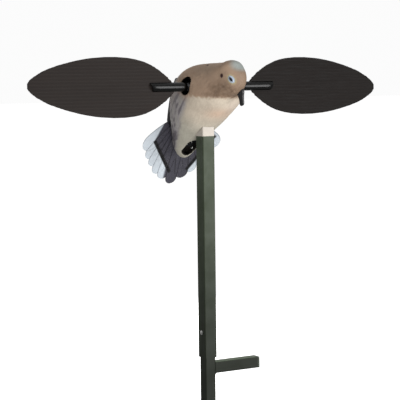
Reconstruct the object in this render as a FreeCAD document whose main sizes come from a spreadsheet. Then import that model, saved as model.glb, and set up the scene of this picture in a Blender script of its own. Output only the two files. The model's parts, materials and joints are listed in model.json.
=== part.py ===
"""Motion wing decoy: a hollow dove on a two-piece square pole, with two battery-driven spinning wings.

Millimetres, +Z up.  The origin is on the pole's axis at the underside of the foot step.
The bird faces -Y and its wings turn about an axis along X; its own right wing is on the -X side.
"""
import FreeCAD, Part
import Sketcher
import math
import os

from FreeCAD import Placement, Rotation, Vector

DRIVING = {
    # pole
    "pole_side": 19.05,
    "pole_wall": 1.24,
    "pole_corner": 1.6,
    "pole_bottom": 23.0,
    "pole_top": 331.8,
    "stake_side": 15.88,
    "stake_wall": 1.24,
    "stake_corner": 1.4,
    "stake_foot": -120.0,
    "stake_tip": -155.0,
    "stake_top": 83.0,
    "step_reach": 81.2,
    "step_cap": 2.9,
    "snap_height": 58.0,
    "snap_diameter": 6.35,
    "snap_proud": 2.2,
    "peg_side": 15.9,
    "peg_length": 35.8,
    # wings
    "wing_axis_y": -20.0,
    "wing_axis_z": 400.0,
    "wing_reach": 276.2,
    "wing_root": 60.0,
    "wing_half_height": 40.2,
    "wing_thickness": 3.0,
    "wing_tilt": 1.5,
    "socket_start": 42.0,
    "socket_end": 98.5,
    "socket_diameter": 12.7,
    "axle_diameter": 6.35,
    "axle_start": 30.0,
    "axle_end": 57.0,
    # drive
    "motor_diameter": 24.4,
    "motor_length": 28.0,
    "shaft_diameter": 3.0,
    "shaft_half": 26.0,
    "coupler_diameter": 11.0,
    "coupler_start": 20.0,
    "coupler_end": 38.0,
    # bird
    "body_y": -15.0,
    "body_z": 388.0,
    "body_pitch": 40.0,
    "shell_wall": 3.0,
    "flank_slot_width": 19.0,
    "flank_slot_height": 25.0,
    "head_x": 2.5,
    "head_y": -65.5,
    "head_z": 411.0,
    "head_turn": 38.0,
    "cell_diameter": 14.2,
    "cell_length": 50.5,
    "tail_length": 105.0,
    "tail_pitch": 64.5,
    "tail_thickness": 2.4,
}

doc = FreeCAD.newDocument("motion_wing_decoy")
dims = doc.addObject("Spreadsheet::Sheet", "dims")
for row, (alias, size) in enumerate(DRIVING.items(), start=1):
    dims.set(f"A{row}", alias)
    dims.set(f"B{row}", str(size))
    dims.setAlias(f"B{row}", alias)
doc.recompute()


def dim(alias):
    return float(dims.get(alias))


NODES = []


def keep(obj, node):
    """Give a finished sub-part its own label and list it for export."""
    obj.Label = node
    NODES.append(obj)
    return obj


# ---------------------------------------------------------------- helpers

def bind(obj, **expressions):
    """Bind properties to the sheet; a double underscore in a name stands for a dot."""
    for prop, expression in expressions.items():
        obj.setExpression(prop.replace("__", "."), expression)
    return obj


def box(name, size, corner, **expressions):
    solid = doc.addObject("Part::Box", name)
    solid.Length, solid.Width, solid.Height = size
    solid.Placement = Placement(Vector(*corner), Rotation())
    return bind(solid, **expressions)


AIM = {
    "X": Rotation(Vector(0, 1, 0), 90),
    "-X": Rotation(Vector(0, 1, 0), -90),
    "Z": Rotation(),
}


def rod(name, radius, length, base, aim="Z", **expressions):
    solid = doc.addObject("Part::Cylinder", name)
    solid.Radius = radius
    solid.Height = length
    solid.Placement = Placement(Vector(*base), AIM[aim])
    return bind(solid, **expressions)


def cut(name, base, tool):
    result = doc.addObject("Part::Cut", name)
    result.Base = base
    result.Tool = tool
    return result


def fuse(name, shapes):
    result = doc.addObject("Part::MultiFuse", name)
    result.Shapes = shapes
    return result


def feature(name, shape):
    """A sub-part whose shape neither primitives nor features make."""
    obj = doc.addObject("Part::Feature", name)
    obj.Shape = shape
    return obj


def new_sketch(body, name, role):
    sketch = body.newObject("Sketcher::SketchObject", name)
    plane = next(f for f in body.Origin.OriginFeatures if f.Role == role)
    sketch.AttachmentSupport = [(plane, "")]
    sketch.MapMode = "FlatFace"
    return sketch


def add_square(sketch, side):
    """A centred square whose side follows a sheet expression."""
    doc.recompute()
    half = 5.0
    corners = [Vector(half * x, half * y, 0) for x, y in ((-1, -1), (1, -1), (1, 1), (-1, 1))]
    first = sketch.GeometryCount
    for k in range(4):
        sketch.addGeometry(Part.LineSegment(corners[k], corners[(k + 1) % 4]))
    for k in range(4):
        sketch.addConstraint(Sketcher.Constraint("Coincident", first + k, 2, first + (k + 1) % 4, 1))
    for k, kind in enumerate(["Horizontal", "Vertical", "Horizontal", "Vertical"]):
        sketch.addConstraint(Sketcher.Constraint(kind, first + k))
    sketch.addConstraint(Sketcher.Constraint("Symmetric", first, 1, first + 1, 2, -1, 1))
    wide = sketch.addConstraint(Sketcher.Constraint("DistanceX", first, 1, first, 2, 2 * half))
    high = sketch.addConstraint(Sketcher.Constraint("DistanceY", first + 1, 1, first + 1, 2, 2 * half))
    sketch.setExpression(f"Constraints[{wide}]", side)
    sketch.setExpression(f"Constraints[{high}]", side)


def square_pad(body, name, role, side, start, length):
    sketch = new_sketch(body, name + "_sketch", role)
    add_square(sketch, side)
    sketch.setExpression("AttachmentOffset.Base.z", start)
    pad = body.newObject("PartDesign::Pad", name + "_pad")
    pad.Profile = sketch
    pad.setExpression("Length", length)
    sketch.Visibility = False
    return pad


def round_long_edges(body, pad, axis, radius):
    """Fillet the four outer edges that run along an axis."""
    doc.recompute()
    names = []
    for index, edge in enumerate(pad.Shape.Edges, start=1):
        run = edge.Vertexes[-1].Point - edge.Vertexes[0].Point
        if run.Length > 0 and abs(run.dot(axis)) > 0.999 * run.Length:
            names.append(f"Edge{index}")
    rounding = body.newObject("PartDesign::Fillet", pad.Name + "_corners")
    rounding.Base = (pad, names)
    rounding.setExpression("Radius", radius)
    return rounding


def square_tube(node, role, side, wall, corner, start, length):
    """Square tube along the normal of an origin plane."""
    body = doc.addObject("PartDesign::Body", node + "_body")
    axis = Vector(0, 0, 1) if role == "XY_Plane" else Vector(1, 0, 0)
    pad = square_pad(body, node, role, side, start, length)
    round_long_edges(body, pad, axis, corner)
    bore_sketch = new_sketch(body, node + "_bore_sketch", role)
    add_square(bore_sketch, f"{side} - 2 * {wall}")
    bore_sketch.setExpression("AttachmentOffset.Base.z", start)
    bore = body.newObject("PartDesign::Pocket", node + "_bore")
    bore.Profile = bore_sketch
    bore.Reversed = True
    bore.setExpression("Length", length)
    bore_sketch.Visibility = False
    doc.recompute()
    return body


# ---------------------------------------------------------------- the bird's own axes

SNUG = 0.3          # play between bodies that move apart
BODY_ROTATION = Rotation(Vector(1, 0, 0), -dim("body_pitch"))
BODY_PLACEMENT = Placement(Vector(0, dim("body_y"), dim("body_z")), BODY_ROTATION)


# aft distance, belly line, back line and half width of each body section
SECTIONS = [
    (-60, -27, 4, 9),
    (-52, -31, 12, 15),
    (-44, -34, 20, 22.5),
    (-34, -36, 28, 31.5),
    (-23, -37, 36.5, 39.5),
    (-11, -36.5, 43.5, 44),
    (8, -33.5, 48, 45.5),
    (32, -30.5, 46, 42),
    (55, -27, 38, 34.5),
    (75, -25.5, 28, 26.5),
    (95, -24, 16, 18.5),
    (108, -22.5, 6, 13),
    (115, -19, -5, 6),
]
SECTION_POINTS = 12
BACK_FULLNESS = 0.82    # below 1 squares the shoulders of the back


def section_wire(aft, low, high, half, grow):
    middle = (low + high) / 2
    rise = (high - low) / 2 + grow
    reach = half + grow
    points = []
    for k in range(SECTION_POINTS):
        turn = 2 * math.pi * k / SECTION_POINTS
        across, height = math.sin(turn), -math.cos(turn)
        if height > 0.01:
            across = math.copysign(abs(across) ** BACK_FULLNESS, across)
            height = height ** BACK_FULLNESS
        points.append(Vector(reach * across, aft, middle + rise * height))
    curve = Part.BSplineCurve()
    curve.interpolate(points, PeriodicFlag=True)
    return Part.Wire([curve.toShape()])


def body_egg(grow):
    """The closed body form, grown or shrunk all round by a distance, in the bird's own axes."""
    wires = []
    last = len(SECTIONS) - 1
    for index, (aft, low, high, half) in enumerate(SECTIONS):
        if index == 0:
            aft -= grow
        if index == last:
            aft += grow
        wires.append(section_wire(aft, low, high, half, grow))
    return Part.makeLoft(wires, True, False)


HEAD_HALF_WIDTH = 16.5
HEAD_HALF_LENGTH = 20.5
HEAD_HALF_HEIGHT = 24.0
HEAD_PLACEMENT = Placement(
    Vector(dim("head_x"), dim("head_y"), dim("head_z")),
    Rotation(Vector(0, 0, 1), dim("head_turn")),
)


def head_form(grow):
    """The head as an ellipsoid in its own axes: x across, -y towards the beak."""
    scale = FreeCAD.Matrix()
    scale.scale(Vector(HEAD_HALF_WIDTH + grow, HEAD_HALF_LENGTH + grow, HEAD_HALF_HEIGHT + grow))
    ball = Part.makeSphere(1.0).transformGeometry(scale)
    ball.Placement = HEAD_PLACEMENT
    return ball


def placed(shape, placement=BODY_PLACEMENT):
    moved = shape.copy()
    moved.Placement = placement.multiply(moved.Placement)
    return moved


def bird_form(grow):
    return placed(body_egg(grow)).fuse(head_form(grow))


def bird_box(half_x, aft_from, aft_to, up_from, up_to):
    """A block across the bird's middle, given in its pitched axes."""
    block = Part.makeBox(2 * half_x, aft_to - aft_from, up_to - up_from, Vector(-half_x, aft_from, up_from))
    return placed(block)


# ---------------------------------------------------------------- ground stake and pole

def make_lower_tube():
    tube = square_tube("lower_tube", "XY_Plane", "dims.stake_side", "dims.stake_wall", "dims.stake_corner",
                       "dims.stake_foot", "dims.stake_top - dims.stake_foot")
    hole = rod("lower_snap_hole", 3.4, 6, (-10, 0, 0), "X",
               Radius="dims.snap_diameter / 2 + 0.25", Placement__Base__z="dims.snap_height")
    keep(cut("lower_tube", tube, hole), "lower_tube")


def make_upper_tube():
    tube = square_tube("upper_tube", "XY_Plane", "dims.pole_side", "dims.pole_wall", "dims.pole_corner",
                       "dims.pole_bottom", "dims.pole_top - dims.pole_bottom")
    hole = rod("upper_snap_hole", 3.4, 6, (-12, 0, 0), "X",
               Radius="dims.snap_diameter / 2 + 0.25", Placement__Base__z="dims.snap_height")
    keep(cut("upper_tube", tube, hole), "upper_tube")


POINT_END_SIDE = 2.0
POINT_PLUG = 14.0
CAP_PLUG = 9.0


def make_stake_point():
    """Square spike, plugged into the tube's open end."""
    body = doc.addObject("PartDesign::Body", "stake_point_body")
    top = new_sketch(body, "point_top", "XY_Plane")
    add_square(top, "dims.stake_side")
    top.setExpression("AttachmentOffset.Base.z", "dims.stake_foot")
    tip = new_sketch(body, "point_tip", "XY_Plane")
    add_square(tip, str(POINT_END_SIDE))
    tip.setExpression("AttachmentOffset.Base.z", "dims.stake_tip")
    doc.recompute()
    spike = body.newObject("PartDesign::AdditiveLoft", "point_loft")
    spike.Profile = top
    spike.Sections = [tip]
    doc.recompute()
    square_pad(body, "point_plug", "XY_Plane", "dims.stake_side - 2 * dims.stake_wall",
               "dims.stake_foot", str(POINT_PLUG))
    keep(body, "stake_point")


def make_foot_step():
    tube = square_tube("foot_step", "YZ_Plane", "dims.stake_side", "dims.stake_wall", "dims.stake_corner",
                       "dims.stake_side / 2", "dims.step_reach - dims.step_cap - dims.stake_side / 2")
    tube.setExpression("Placement.Base.z", "dims.stake_side / 2")
    keep(tube, "foot_step")


def make_step_end_cap():
    body = doc.addObject("PartDesign::Body", "step_end_cap_body")
    flange = square_pad(body, "cap_flange", "YZ_Plane", "dims.stake_side",
                        "dims.step_reach - dims.step_cap", "dims.step_cap")
    round_long_edges(body, flange, Vector(1, 0, 0), "dims.stake_corner")
    square_pad(body, "cap_plug", "YZ_Plane", "dims.stake_side - 2 * dims.stake_wall",
               f"dims.step_reach - dims.step_cap - {CAP_PLUG}", str(CAP_PLUG))
    body.setExpression("Placement.Base.z", "dims.stake_side / 2")
    keep(body, "step_end_cap")


def make_step_gusset():
    """Small triangular stiffener welded in the corner under the step."""
    reach, thickness = 6.5, 3.2
    corner = dim("stake_side") / 2
    profile = [Vector(corner, -thickness / 2, 0), Vector(corner + reach, -thickness / 2, 0),
               Vector(corner, -thickness / 2, -reach), Vector(corner, -thickness / 2, 0)]
    shape = Part.Face(Part.makePolygon(profile)).extrude(Vector(0, thickness, 0))
    keep(feature("step_gusset", shape), "step_gusset")


def make_snap():
    """Round snap button with the folded leaf spring that carries it inside the tube."""
    inner = dim("stake_side") / 2 - dim("stake_wall")
    leaf, width, length = 0.8, 8.0, 32.0
    near, far = -inner + 1.4, 1.6
    height = dim("snap_height")
    stem = rod("snap_stem", 3.175, 6, (0, 0, 0), "X", Radius="dims.snap_diameter / 2",
               Height="dims.pole_side / 2 + 0.5 - dims.stake_side / 2 + dims.stake_wall + 1.4",
               Placement__Base__x="-dims.pole_side / 2 - 0.5",
               Placement__Base__z="dims.snap_height")
    dome = doc.addObject("Part::Sphere", "snap_dome")
    bind(dome, Radius="dims.snap_diameter / 2",
         Placement__Base__x="dims.snap_diameter / 2 - dims.pole_side / 2 - dims.snap_proud",
         Placement__Base__z="dims.snap_height")
    keep(fuse("snap_button", [stem, dome]), "snap_button")
    front = box("leaf_front", (leaf, width, length), (near, -width / 2, height - length / 3))
    back = box("leaf_back", (leaf, width, length), (far, -width / 2, height - length / 3))
    bend = box("leaf_bend", (far + leaf - near, width, leaf), (near, -width / 2, height + 2 * length / 3))
    keep(fuse("snap_spring", [front, back, bend]), "snap_spring")


# ---------------------------------------------------------------- post and motor frame

POST_TOP = 350.0
FRAME_PLATE = 2.5
CRADLE_LOW, CRADLE_HIGH = 384.0, 393.0
CRADLE_HALF_Y = 18.0
STRAP_SCREW_OFFSET = 15.5
STRAP_HALF_WIDTH = 5.0
STRAP_THICKNESS = 1.8
FRAME_SCREW_X, FRAME_SCREW_Y = 5.0, -2.0
FRAME_SCREW_RADIUS, FRAME_SCREW_DEPTH = 2.0, 12.0
SIDES = {"left": 1, "right": -1}


def make_mount_post():
    body = doc.addObject("PartDesign::Body", "mount_post_body")
    collar = square_pad(body, "post_collar", "XY_Plane", "dims.pole_side", "dims.pole_top",
                        f"{POST_TOP} - dims.pole_top")
    round_long_edges(body, collar, Vector(0, 0, 1), "dims.pole_corner")
    square_pad(body, "post_peg", "XY_Plane", "dims.peg_side",
               "dims.pole_top - dims.peg_length", "dims.peg_length")
    doc.recompute()
    holes = []
    for side, sign in SIDES.items():
        base = (sign * FRAME_SCREW_X, FRAME_SCREW_Y, POST_TOP - FRAME_SCREW_DEPTH)
        holes.append(rod(f"post_hole_{side}", FRAME_SCREW_RADIUS, FRAME_SCREW_DEPTH, base))
    keep(cut("mount_post", body, fuse("post_screw_holes", holes)), "mount_post")


def motor_cylinder(radius, half_length, centre=0.0):
    start = Vector(centre - half_length, dim("wing_axis_y"), dim("wing_axis_z"))
    return Part.makeCylinder(radius, 2 * half_length, start, Vector(1, 0, 0))


def strap_screw_shapes():
    """Pan-head screws that hold the strap down on the cradle."""
    screws = []
    top = CRADLE_HIGH + STRAP_THICKNESS
    for side in (-1, 1):
        y = dim("wing_axis_y") + side * STRAP_SCREW_OFFSET
        shank = Part.makeCylinder(1.25, 7.0, Vector(0, y, top - 7.0))
        head = Part.makeCylinder(2.4, 1.6, Vector(0, y, top))
        screws.append(shank.fuse(head))
    return screws


def frame_screw_shapes():
    """Pan-head screws that hold the frame's foot on the post."""
    screws = []
    top = POST_TOP + FRAME_PLATE
    for sign in SIDES.values():
        x, y = sign * FRAME_SCREW_X, FRAME_SCREW_Y
        low = Vector(x, y, POST_TOP - FRAME_SCREW_DEPTH)
        shank = Part.makeCylinder(FRAME_SCREW_RADIUS, FRAME_SCREW_DEPTH + FRAME_PLATE, low)
        head = Part.makeCylinder(3.6, 2.0, Vector(x, y, top))
        screws.append(shank.fuse(head))
    return screws


def make_motor_frame():
    """Bent bracket from the post's top up to the motor's cradle."""
    axis_y = dim("wing_axis_y")
    half = dim("pole_side") / 2
    foot_top = POST_TOP + FRAME_PLATE
    outline = [(half, POST_TOP), (half, foot_top), (-5.5, foot_top), (-16.0, CRADLE_LOW),
               (-18.8, CRADLE_LOW), (-8.5, POST_TOP), (half, POST_TOP)]
    face = Part.Face(Part.makePolygon([Vector(-half, y, z) for y, z in outline]))
    web = face.extrude(Vector(2 * half, 0, 0))
    block = Part.makeBox(24, 2 * CRADLE_HALF_Y, CRADLE_HIGH - CRADLE_LOW,
                         Vector(-12, axis_y - CRADLE_HALF_Y, CRADLE_LOW))
    shape = web.fuse(block).cut(motor_cylinder(dim("motor_diameter") / 2, 20))
    for screw in strap_screw_shapes() + frame_screw_shapes():
        shape = shape.cut(screw)
    keep(feature("motor_frame", shape), "motor_frame")


def make_motor_strap():
    axis_y, axis_z = dim("wing_axis_y"), dim("wing_axis_z")
    radius = dim("motor_diameter") / 2
    ring = motor_cylinder(radius + STRAP_THICKNESS, STRAP_HALF_WIDTH)
    upper = Part.makeBox(2 * STRAP_HALF_WIDTH, 60, 40, Vector(-STRAP_HALF_WIDTH, axis_y - 30, CRADLE_HIGH))
    shape = ring.common(upper)
    feet = Part.makeBox(2 * STRAP_HALF_WIDTH, 2 * CRADLE_HALF_Y, STRAP_THICKNESS,
                        Vector(-STRAP_HALF_WIDTH, axis_y - CRADLE_HALF_Y, CRADLE_HIGH))
    shape = shape.fuse(feet).cut(motor_cylinder(radius, 20))
    for screw in strap_screw_shapes():
        shape = shape.cut(screw)
    keep(feature("motor_strap", shape.removeSplitter()), "motor_strap")
    keep(feature("strap_screws", Part.makeCompound(strap_screw_shapes())), "strap_screws")
    keep(feature("frame_screws", Part.makeCompound(frame_screw_shapes())), "frame_screws")


def make_motor():
    end_bell = 4.0
    axis = (0, dim("wing_axis_y"), dim("wing_axis_z"))
    can = rod("motor_can_solid", 12, 24, axis, "X", Radius="dims.motor_diameter / 2",
              Height=f"dims.motor_length - {end_bell}",
              Placement__Base__x=f"-dims.motor_length / 2 + {end_bell}")
    can_bore = rod("motor_can_bore", 1.6, 40, axis, "X", Radius="dims.shaft_diameter / 2 + 0.05",
                   Placement__Base__x="-20")
    keep(cut("motor_can", can, can_bore), "motor_can")
    bell = rod("end_bell_solid", 12, end_bell, axis, "X", Radius="dims.motor_diameter / 2 - 0.6",
               Placement__Base__x="-dims.motor_length / 2")
    bell_bore = rod("end_bell_bore", 1.6, 40, axis, "X", Radius="dims.shaft_diameter / 2 + 0.05",
                    Placement__Base__x="-20")
    keep(cut("motor_end_bell", bell, bell_bore), "motor_end_bell")


# ---------------------------------------------------------------- spinning shaft line

SET_SCREW_PLACES = (23.0, 34.0)


def set_screw_shapes(sign):
    axis_y, axis_z = dim("wing_axis_y"), dim("wing_axis_z")
    seats = (dim("shaft_diameter") / 2, dim("axle_diameter") / 2)
    top = dim("coupler_diameter") / 2 - 0.3
    return [Part.makeCylinder(1.25, top - seat, Vector(sign * place, axis_y, axis_z + seat))
            for place, seat in zip(SET_SCREW_PLACES, seats)]


def side_rod(name, sign, diameter, start, end):
    """A rod on the wing axis, on one side of the bird, from one distance out to another."""
    at = (0, dim("wing_axis_y"), dim("wing_axis_z"))
    aim = "X" if sign > 0 else "-X"
    return rod(name, 3, 10, at, aim, Radius=f"{diameter} / 2", Height=f"{end} - {start}",
               Placement__Base__x=f"{sign} * ({start})")


def make_coupler(side, sign):
    solid = side_rod(f"coupler_solid_{side}", sign, "dims.coupler_diameter",
                     "dims.coupler_start", "dims.coupler_end")
    bores = [
        side_rod(f"coupler_shaft_bore_{side}", sign, "dims.shaft_diameter",
                 "dims.coupler_start", "dims.shaft_half"),
        side_rod(f"coupler_axle_bore_{side}", sign, "dims.axle_diameter",
                 "dims.axle_start", "dims.coupler_end"),
        feature(f"coupler_screw_holes_{side}", Part.makeCompound(set_screw_shapes(sign))),
    ]
    hollows = fuse(f"coupler_bores_{side}", bores)
    keep(cut(f"shaft_coupler_{side}", solid, hollows), f"shaft_coupler_{side}")


def make_shaft_line():
    at = (0, dim("wing_axis_y"), dim("wing_axis_z"))
    shaft = rod("motor_shaft", 1.5, 52, at, "X", Radius="dims.shaft_diameter / 2",
                Height="2 * dims.shaft_half", Placement__Base__x="-dims.shaft_half")
    keep(shaft, "motor_shaft")
    screws = []
    for side, sign in SIDES.items():
        make_coupler(side, sign)
        axle = side_rod(f"wing_axle_{side}", sign, "dims.axle_diameter", "dims.axle_start", "dims.axle_end")
        keep(axle, f"wing_axle_{side}")
        screws += set_screw_shapes(sign)
    keep(feature("set_screws", Part.makeCompound(screws)), "set_screws")


# ---------------------------------------------------------------- wings

# distance from the bird's middle and half height of the leaf, as shares of the blade
LEAF = [(0.09, 0.54), (0.20, 0.84), (0.402, 1.0), (0.60, 0.925), (0.80, 0.675), (0.93, 0.385)]
LEAF_ROOT_HALF = 5.0
SPAR_RADIUS = 1.1
SPAR_START, SPAR_END = 62.0, 214.0
SOCKET_PLAY = 0.2


def wing_rotation(sign):
    """Own x runs out along the wing, own z faces the front; right is left turned half round."""
    facing_front = Rotation(Vector(1, 0, 0), 90)
    if sign > 0:
        return facing_front
    return Rotation(Vector(0, 1, 0), 180).multiply(facing_front)


def leaf_points(edge):
    root, tip = dim("wing_root"), dim("wing_reach")
    slope = -math.tan(math.radians(dim("wing_tilt")))
    pivot = root + 0.3 * (tip - root)
    points = [(root, LEAF_ROOT_HALF)]
    points += [(root + share * (tip - root), high * dim("wing_half_height")) for share, high in LEAF]
    return [Vector(u, edge * half + slope * (u - pivot), 0) for u, half in points]


def leaf_outline():
    slope = -math.tan(math.radians(dim("wing_tilt")))
    tip = Vector(dim("wing_reach"), slope * 0.7 * (dim("wing_reach") - dim("wing_root")), 0)
    upper, lower = leaf_points(1), leaf_points(-1)
    rim = Part.BSplineCurve()
    rim.interpolate(upper + [tip] + lower[::-1])
    return rim, Part.LineSegment(lower[0], upper[0])


def make_panel(side, sign, spar):
    body = doc.addObject("PartDesign::Body", f"wing_panel_{side}_body")
    sketch = new_sketch(body, f"wing_outline_{side}", "XY_Plane")
    for curve in leaf_outline():
        sketch.addGeometry(curve)
    sketch.setExpression("AttachmentOffset.Base.z", "-dims.wing_thickness / 2")
    pad = body.newObject("PartDesign::Pad", f"wing_pad_{side}")
    pad.Profile = sketch
    pad.setExpression("Length", "dims.wing_thickness")
    sketch.Visibility = False
    body.Placement = Placement(Vector(0, dim("wing_axis_y"), dim("wing_axis_z")), wing_rotation(sign))
    doc.recompute()
    keep(cut(f"wing_panel_{side}", body, spar), f"wing_panel_{side}")


def make_socket(side, sign):
    """Tube that slides over the axle at one end and grips the blade's root in a slit at the other."""
    barrel = side_rod(f"socket_barrel_{side}", sign, "dims.socket_diameter",
                      "dims.socket_start", "dims.socket_end")
    bore = side_rod(f"socket_bore_{side}", sign, f"(dims.axle_diameter + {SOCKET_PLAY})",
                    "dims.socket_start", f"(dims.axle_end + {SOCKET_PLAY})")
    mouth = box(f"socket_mouth_{side}", (60, 3, 20), (0, 0, dim("wing_axis_z") - 10),
                Length="dims.socket_end - dims.wing_root", Width="dims.wing_thickness",
                Placement__Base__y="dims.wing_axis_y - dims.wing_thickness / 2",
                Placement__Base__x="dims.wing_root" if sign > 0 else "-dims.socket_end")
    hollows = fuse(f"socket_hollows_{side}", [bore, mouth])
    keep(cut(f"wing_socket_{side}", barrel, hollows), f"wing_socket_{side}")


def make_wing(side, sign):
    start = (sign * SPAR_START, dim("wing_axis_y"), dim("wing_axis_z"))
    spar = rod(f"wing_spar_{side}", SPAR_RADIUS, SPAR_END - SPAR_START, start, "X" if sign > 0 else "-X")
    make_panel(side, sign, spar)
    keep(spar, f"wing_spar_{side}")
    make_socket(side, sign)


# ---------------------------------------------------------------- batteries and back cover

BOX_WALL = 1.5
BOX_AFT, BOX_UP = 16.0, -10.5          # near lower corner of the battery box in the bird's axes
CONTACT = 0.5


def box_inner():
    across = 2 * dim("cell_diameter") + 0.8
    return across, dim("cell_length") + 2 * CONTACT, across


def cell_shape(column, level):
    radius = dim("cell_diameter") / 2
    across, _, _ = box_inner()
    x = (column - 0.5) * across / 2
    up = BOX_UP + BOX_WALL + radius + 0.1 + level * (2 * radius + 0.1)
    start = BOX_AFT + BOX_WALL + CONTACT
    nub = 1.2
    can = Part.makeCylinder(radius, dim("cell_length") - nub, Vector(x, start, up), Vector(0, 1, 0))
    pole = Part.makeCylinder(2.6, nub, Vector(x, start + dim("cell_length") - nub, up), Vector(0, 1, 0))
    return placed(can.fuse(pole))


def make_battery_box():
    across, along, deep = box_inner()
    outer = Part.makeBox(across + 2 * BOX_WALL, along + 2 * BOX_WALL, deep + BOX_WALL,
                         Vector(-across / 2 - BOX_WALL, BOX_AFT, BOX_UP))
    floor_corner = Vector(-across / 2, BOX_AFT + BOX_WALL, BOX_UP + BOX_WALL)
    hollow = Part.makeBox(across, along, deep + 5, floor_corner)
    keep(feature("battery_box", placed(outer.cut(hollow))), "battery_box")
    plates = []
    for end in (0, 1):
        start = BOX_AFT + BOX_WALL + end * (along - CONTACT)
        for column in (-1, 1):
            corner = Vector(column * across / 4 - 4.5, start, BOX_UP + BOX_WALL + 3)
            plates.append(placed(Part.makeBox(9, CONTACT, 22, corner)))
    keep(feature("battery_contacts", Part.makeCompound(plates)), "battery_contacts")
    for number in range(4):
        cell = cell_shape(number % 2, number // 2)
        keep(feature(f"battery_{number + 1}", cell), f"battery_{number + 1}")


COVER_HALF, COVER_FROM, COVER_TO = 25.0, 25.0, 82.0
COVER_PROUD, COVER_LIFT = 8.0, 0.5
HATCH_HALF, HATCH_FROM, HATCH_TO = 15.0, 28.0, 79.0
HINGE_AFT, HINGE_UP = 21.0, 51.6
HINGE_PIN_RADIUS = 1.5
KNUCKLE_RADIUS, KNUCKLE_HALF = 2.9, 8.0
LUG_LENGTH = 4.0


def hinge_rod(radius, x_from, x_to):
    start = Vector(x_from, HINGE_AFT, HINGE_UP)
    return placed(Part.makeCylinder(radius, x_to - x_from, start, Vector(1, 0, 0)))


def make_back_cover():
    band = placed(body_egg(COVER_PROUD)).cut(placed(body_egg(COVER_LIFT)))
    patch = band.common(bird_box(COVER_HALF, COVER_FROM, COVER_TO, 12, 70))
    arm = bird_box(KNUCKLE_HALF, HINGE_AFT, COVER_FROM + 2, HINGE_UP - 1.6, HINGE_UP + 1.2)
    knuckle = hinge_rod(KNUCKLE_RADIUS, -KNUCKLE_HALF, KNUCKLE_HALF)
    shape = patch.fuse(knuckle).fuse(arm).cut(hinge_rod(HINGE_PIN_RADIUS + 0.05, -20, 20))
    keep(feature("back_cover", shape.removeSplitter()), "back_cover")


def make_cover_hinge():
    reach = KNUCKLE_HALF + SNUG + LUG_LENGTH
    keep(feature("cover_hinge_pin", hinge_rod(HINGE_PIN_RADIUS, -reach, reach)), "cover_hinge_pin")
    outside = placed(body_egg(0))
    lugs = []
    for sign in SIDES.values():
        near = sign * (KNUCKLE_HALF + SNUG)
        start = min(near, near + sign * LUG_LENGTH)
        ear = hinge_rod(KNUCKLE_RADIUS, start, start + LUG_LENGTH)
        foot = placed(Part.makeBox(LUG_LENGTH, 2 * KNUCKLE_RADIUS, 8,
                                   Vector(start, HINGE_AFT - KNUCKLE_RADIUS, HINGE_UP - 8)))
        lugs.append(ear.fuse(foot).cut(hinge_rod(HINGE_PIN_RADIUS, -20, 20)).cut(outside))
    keep(feature("cover_hinge_lugs", Part.makeCompound(lugs)), "cover_hinge_lugs")


# ---------------------------------------------------------------- switch under the vent

SWITCH_AFT = 88.0
PLATE_UP = -12.0
PLATE_THICK = 1.5
LEVER_SWING = 12.0
BUSHING_RADIUS = 3.0
NUT_CORNER = 4.4


def bird_rod(radius, up_from, up_to, aft=SWITCH_AFT):
    return placed(Part.makeCylinder(radius, up_to - up_from, Vector(0, aft, up_from), Vector(0, 0, 1)))


def make_switch():
    nut_low = PLATE_UP - 2.2
    top = PLATE_UP + PLATE_THICK
    plate = bird_box(12.0, SWITCH_AFT - 14, SWITCH_AFT + 9, PLATE_UP, top)
    plate = plate.cut(bird_rod(BUSHING_RADIUS, PLATE_UP - 1, PLATE_UP + 3))
    keep(feature("switch_plate", plate), "switch_plate")
    housing = bird_box(3.5, SWITCH_AFT - 6.5, SWITCH_AFT + 6.5, top, top + 9)
    bushing = bird_rod(BUSHING_RADIUS, PLATE_UP - 5.0, top)
    throat = placed(Part.makeCone(2.4, 1.6, 5.0, Vector(0, SWITCH_AFT, PLATE_UP - 5.0), Vector(0, 0, 1)))
    keep(feature("switch_body", housing.fuse(bushing).cut(throat).removeSplitter()), "switch_body")
    corners = []
    for k in range(7):
        turn = math.radians(60 * k)
        aft = SWITCH_AFT + NUT_CORNER * math.sin(turn)
        corners.append(Vector(NUT_CORNER * math.cos(turn), aft, nut_low))
    hexagon = Part.Face(Part.makePolygon(corners)).extrude(Vector(0, 0, PLATE_UP - nut_low))
    nut = placed(hexagon).cut(bird_rod(BUSHING_RADIUS, nut_low - 1, PLATE_UP + 1))
    keep(feature("switch_nut", nut), "switch_nut")
    bat = Part.makeCone(1.3, 0.9, 9.5, Vector(0, SWITCH_AFT, PLATE_UP - 11.0), Vector(0, 0, 1))
    knob = Part.makeSphere(1.5, Vector(0, SWITCH_AFT, PLATE_UP - 11.0))
    pivot = Vector(0, SWITCH_AFT, PLATE_UP - 2.0)
    boss = Part.makeCylinder(1.4, 2.4, pivot - Vector(1.2, 0, 0), Vector(1, 0, 0))
    lever = bat.fuse(knob).fuse(boss)
    lever.rotate(pivot, Vector(1, 0, 0), -LEVER_SWING / 2)
    keep(feature("switch_lever", placed(lever)), "switch_lever")


# ---------------------------------------------------------------- tail, beak, eyes, shell

FEATHER_COUNT = 11
FEATHER_SPREAD = 54.0
OUTER_FEATHER = 73.0
MIDDLE_WIDTH, OUTER_WIDTH = 17.0, 26.0
MIDDLE_ROOT, OUTER_ROOT = 20.0, 8.0
TAIL_ROOT = (0.0, 56.0, 356.0)
OUTER_DROOP = 7.5       # degrees that the outermost blade leans towards the belly
OUTER_ROLL = 15.0       # degrees that it turns about its own length


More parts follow.
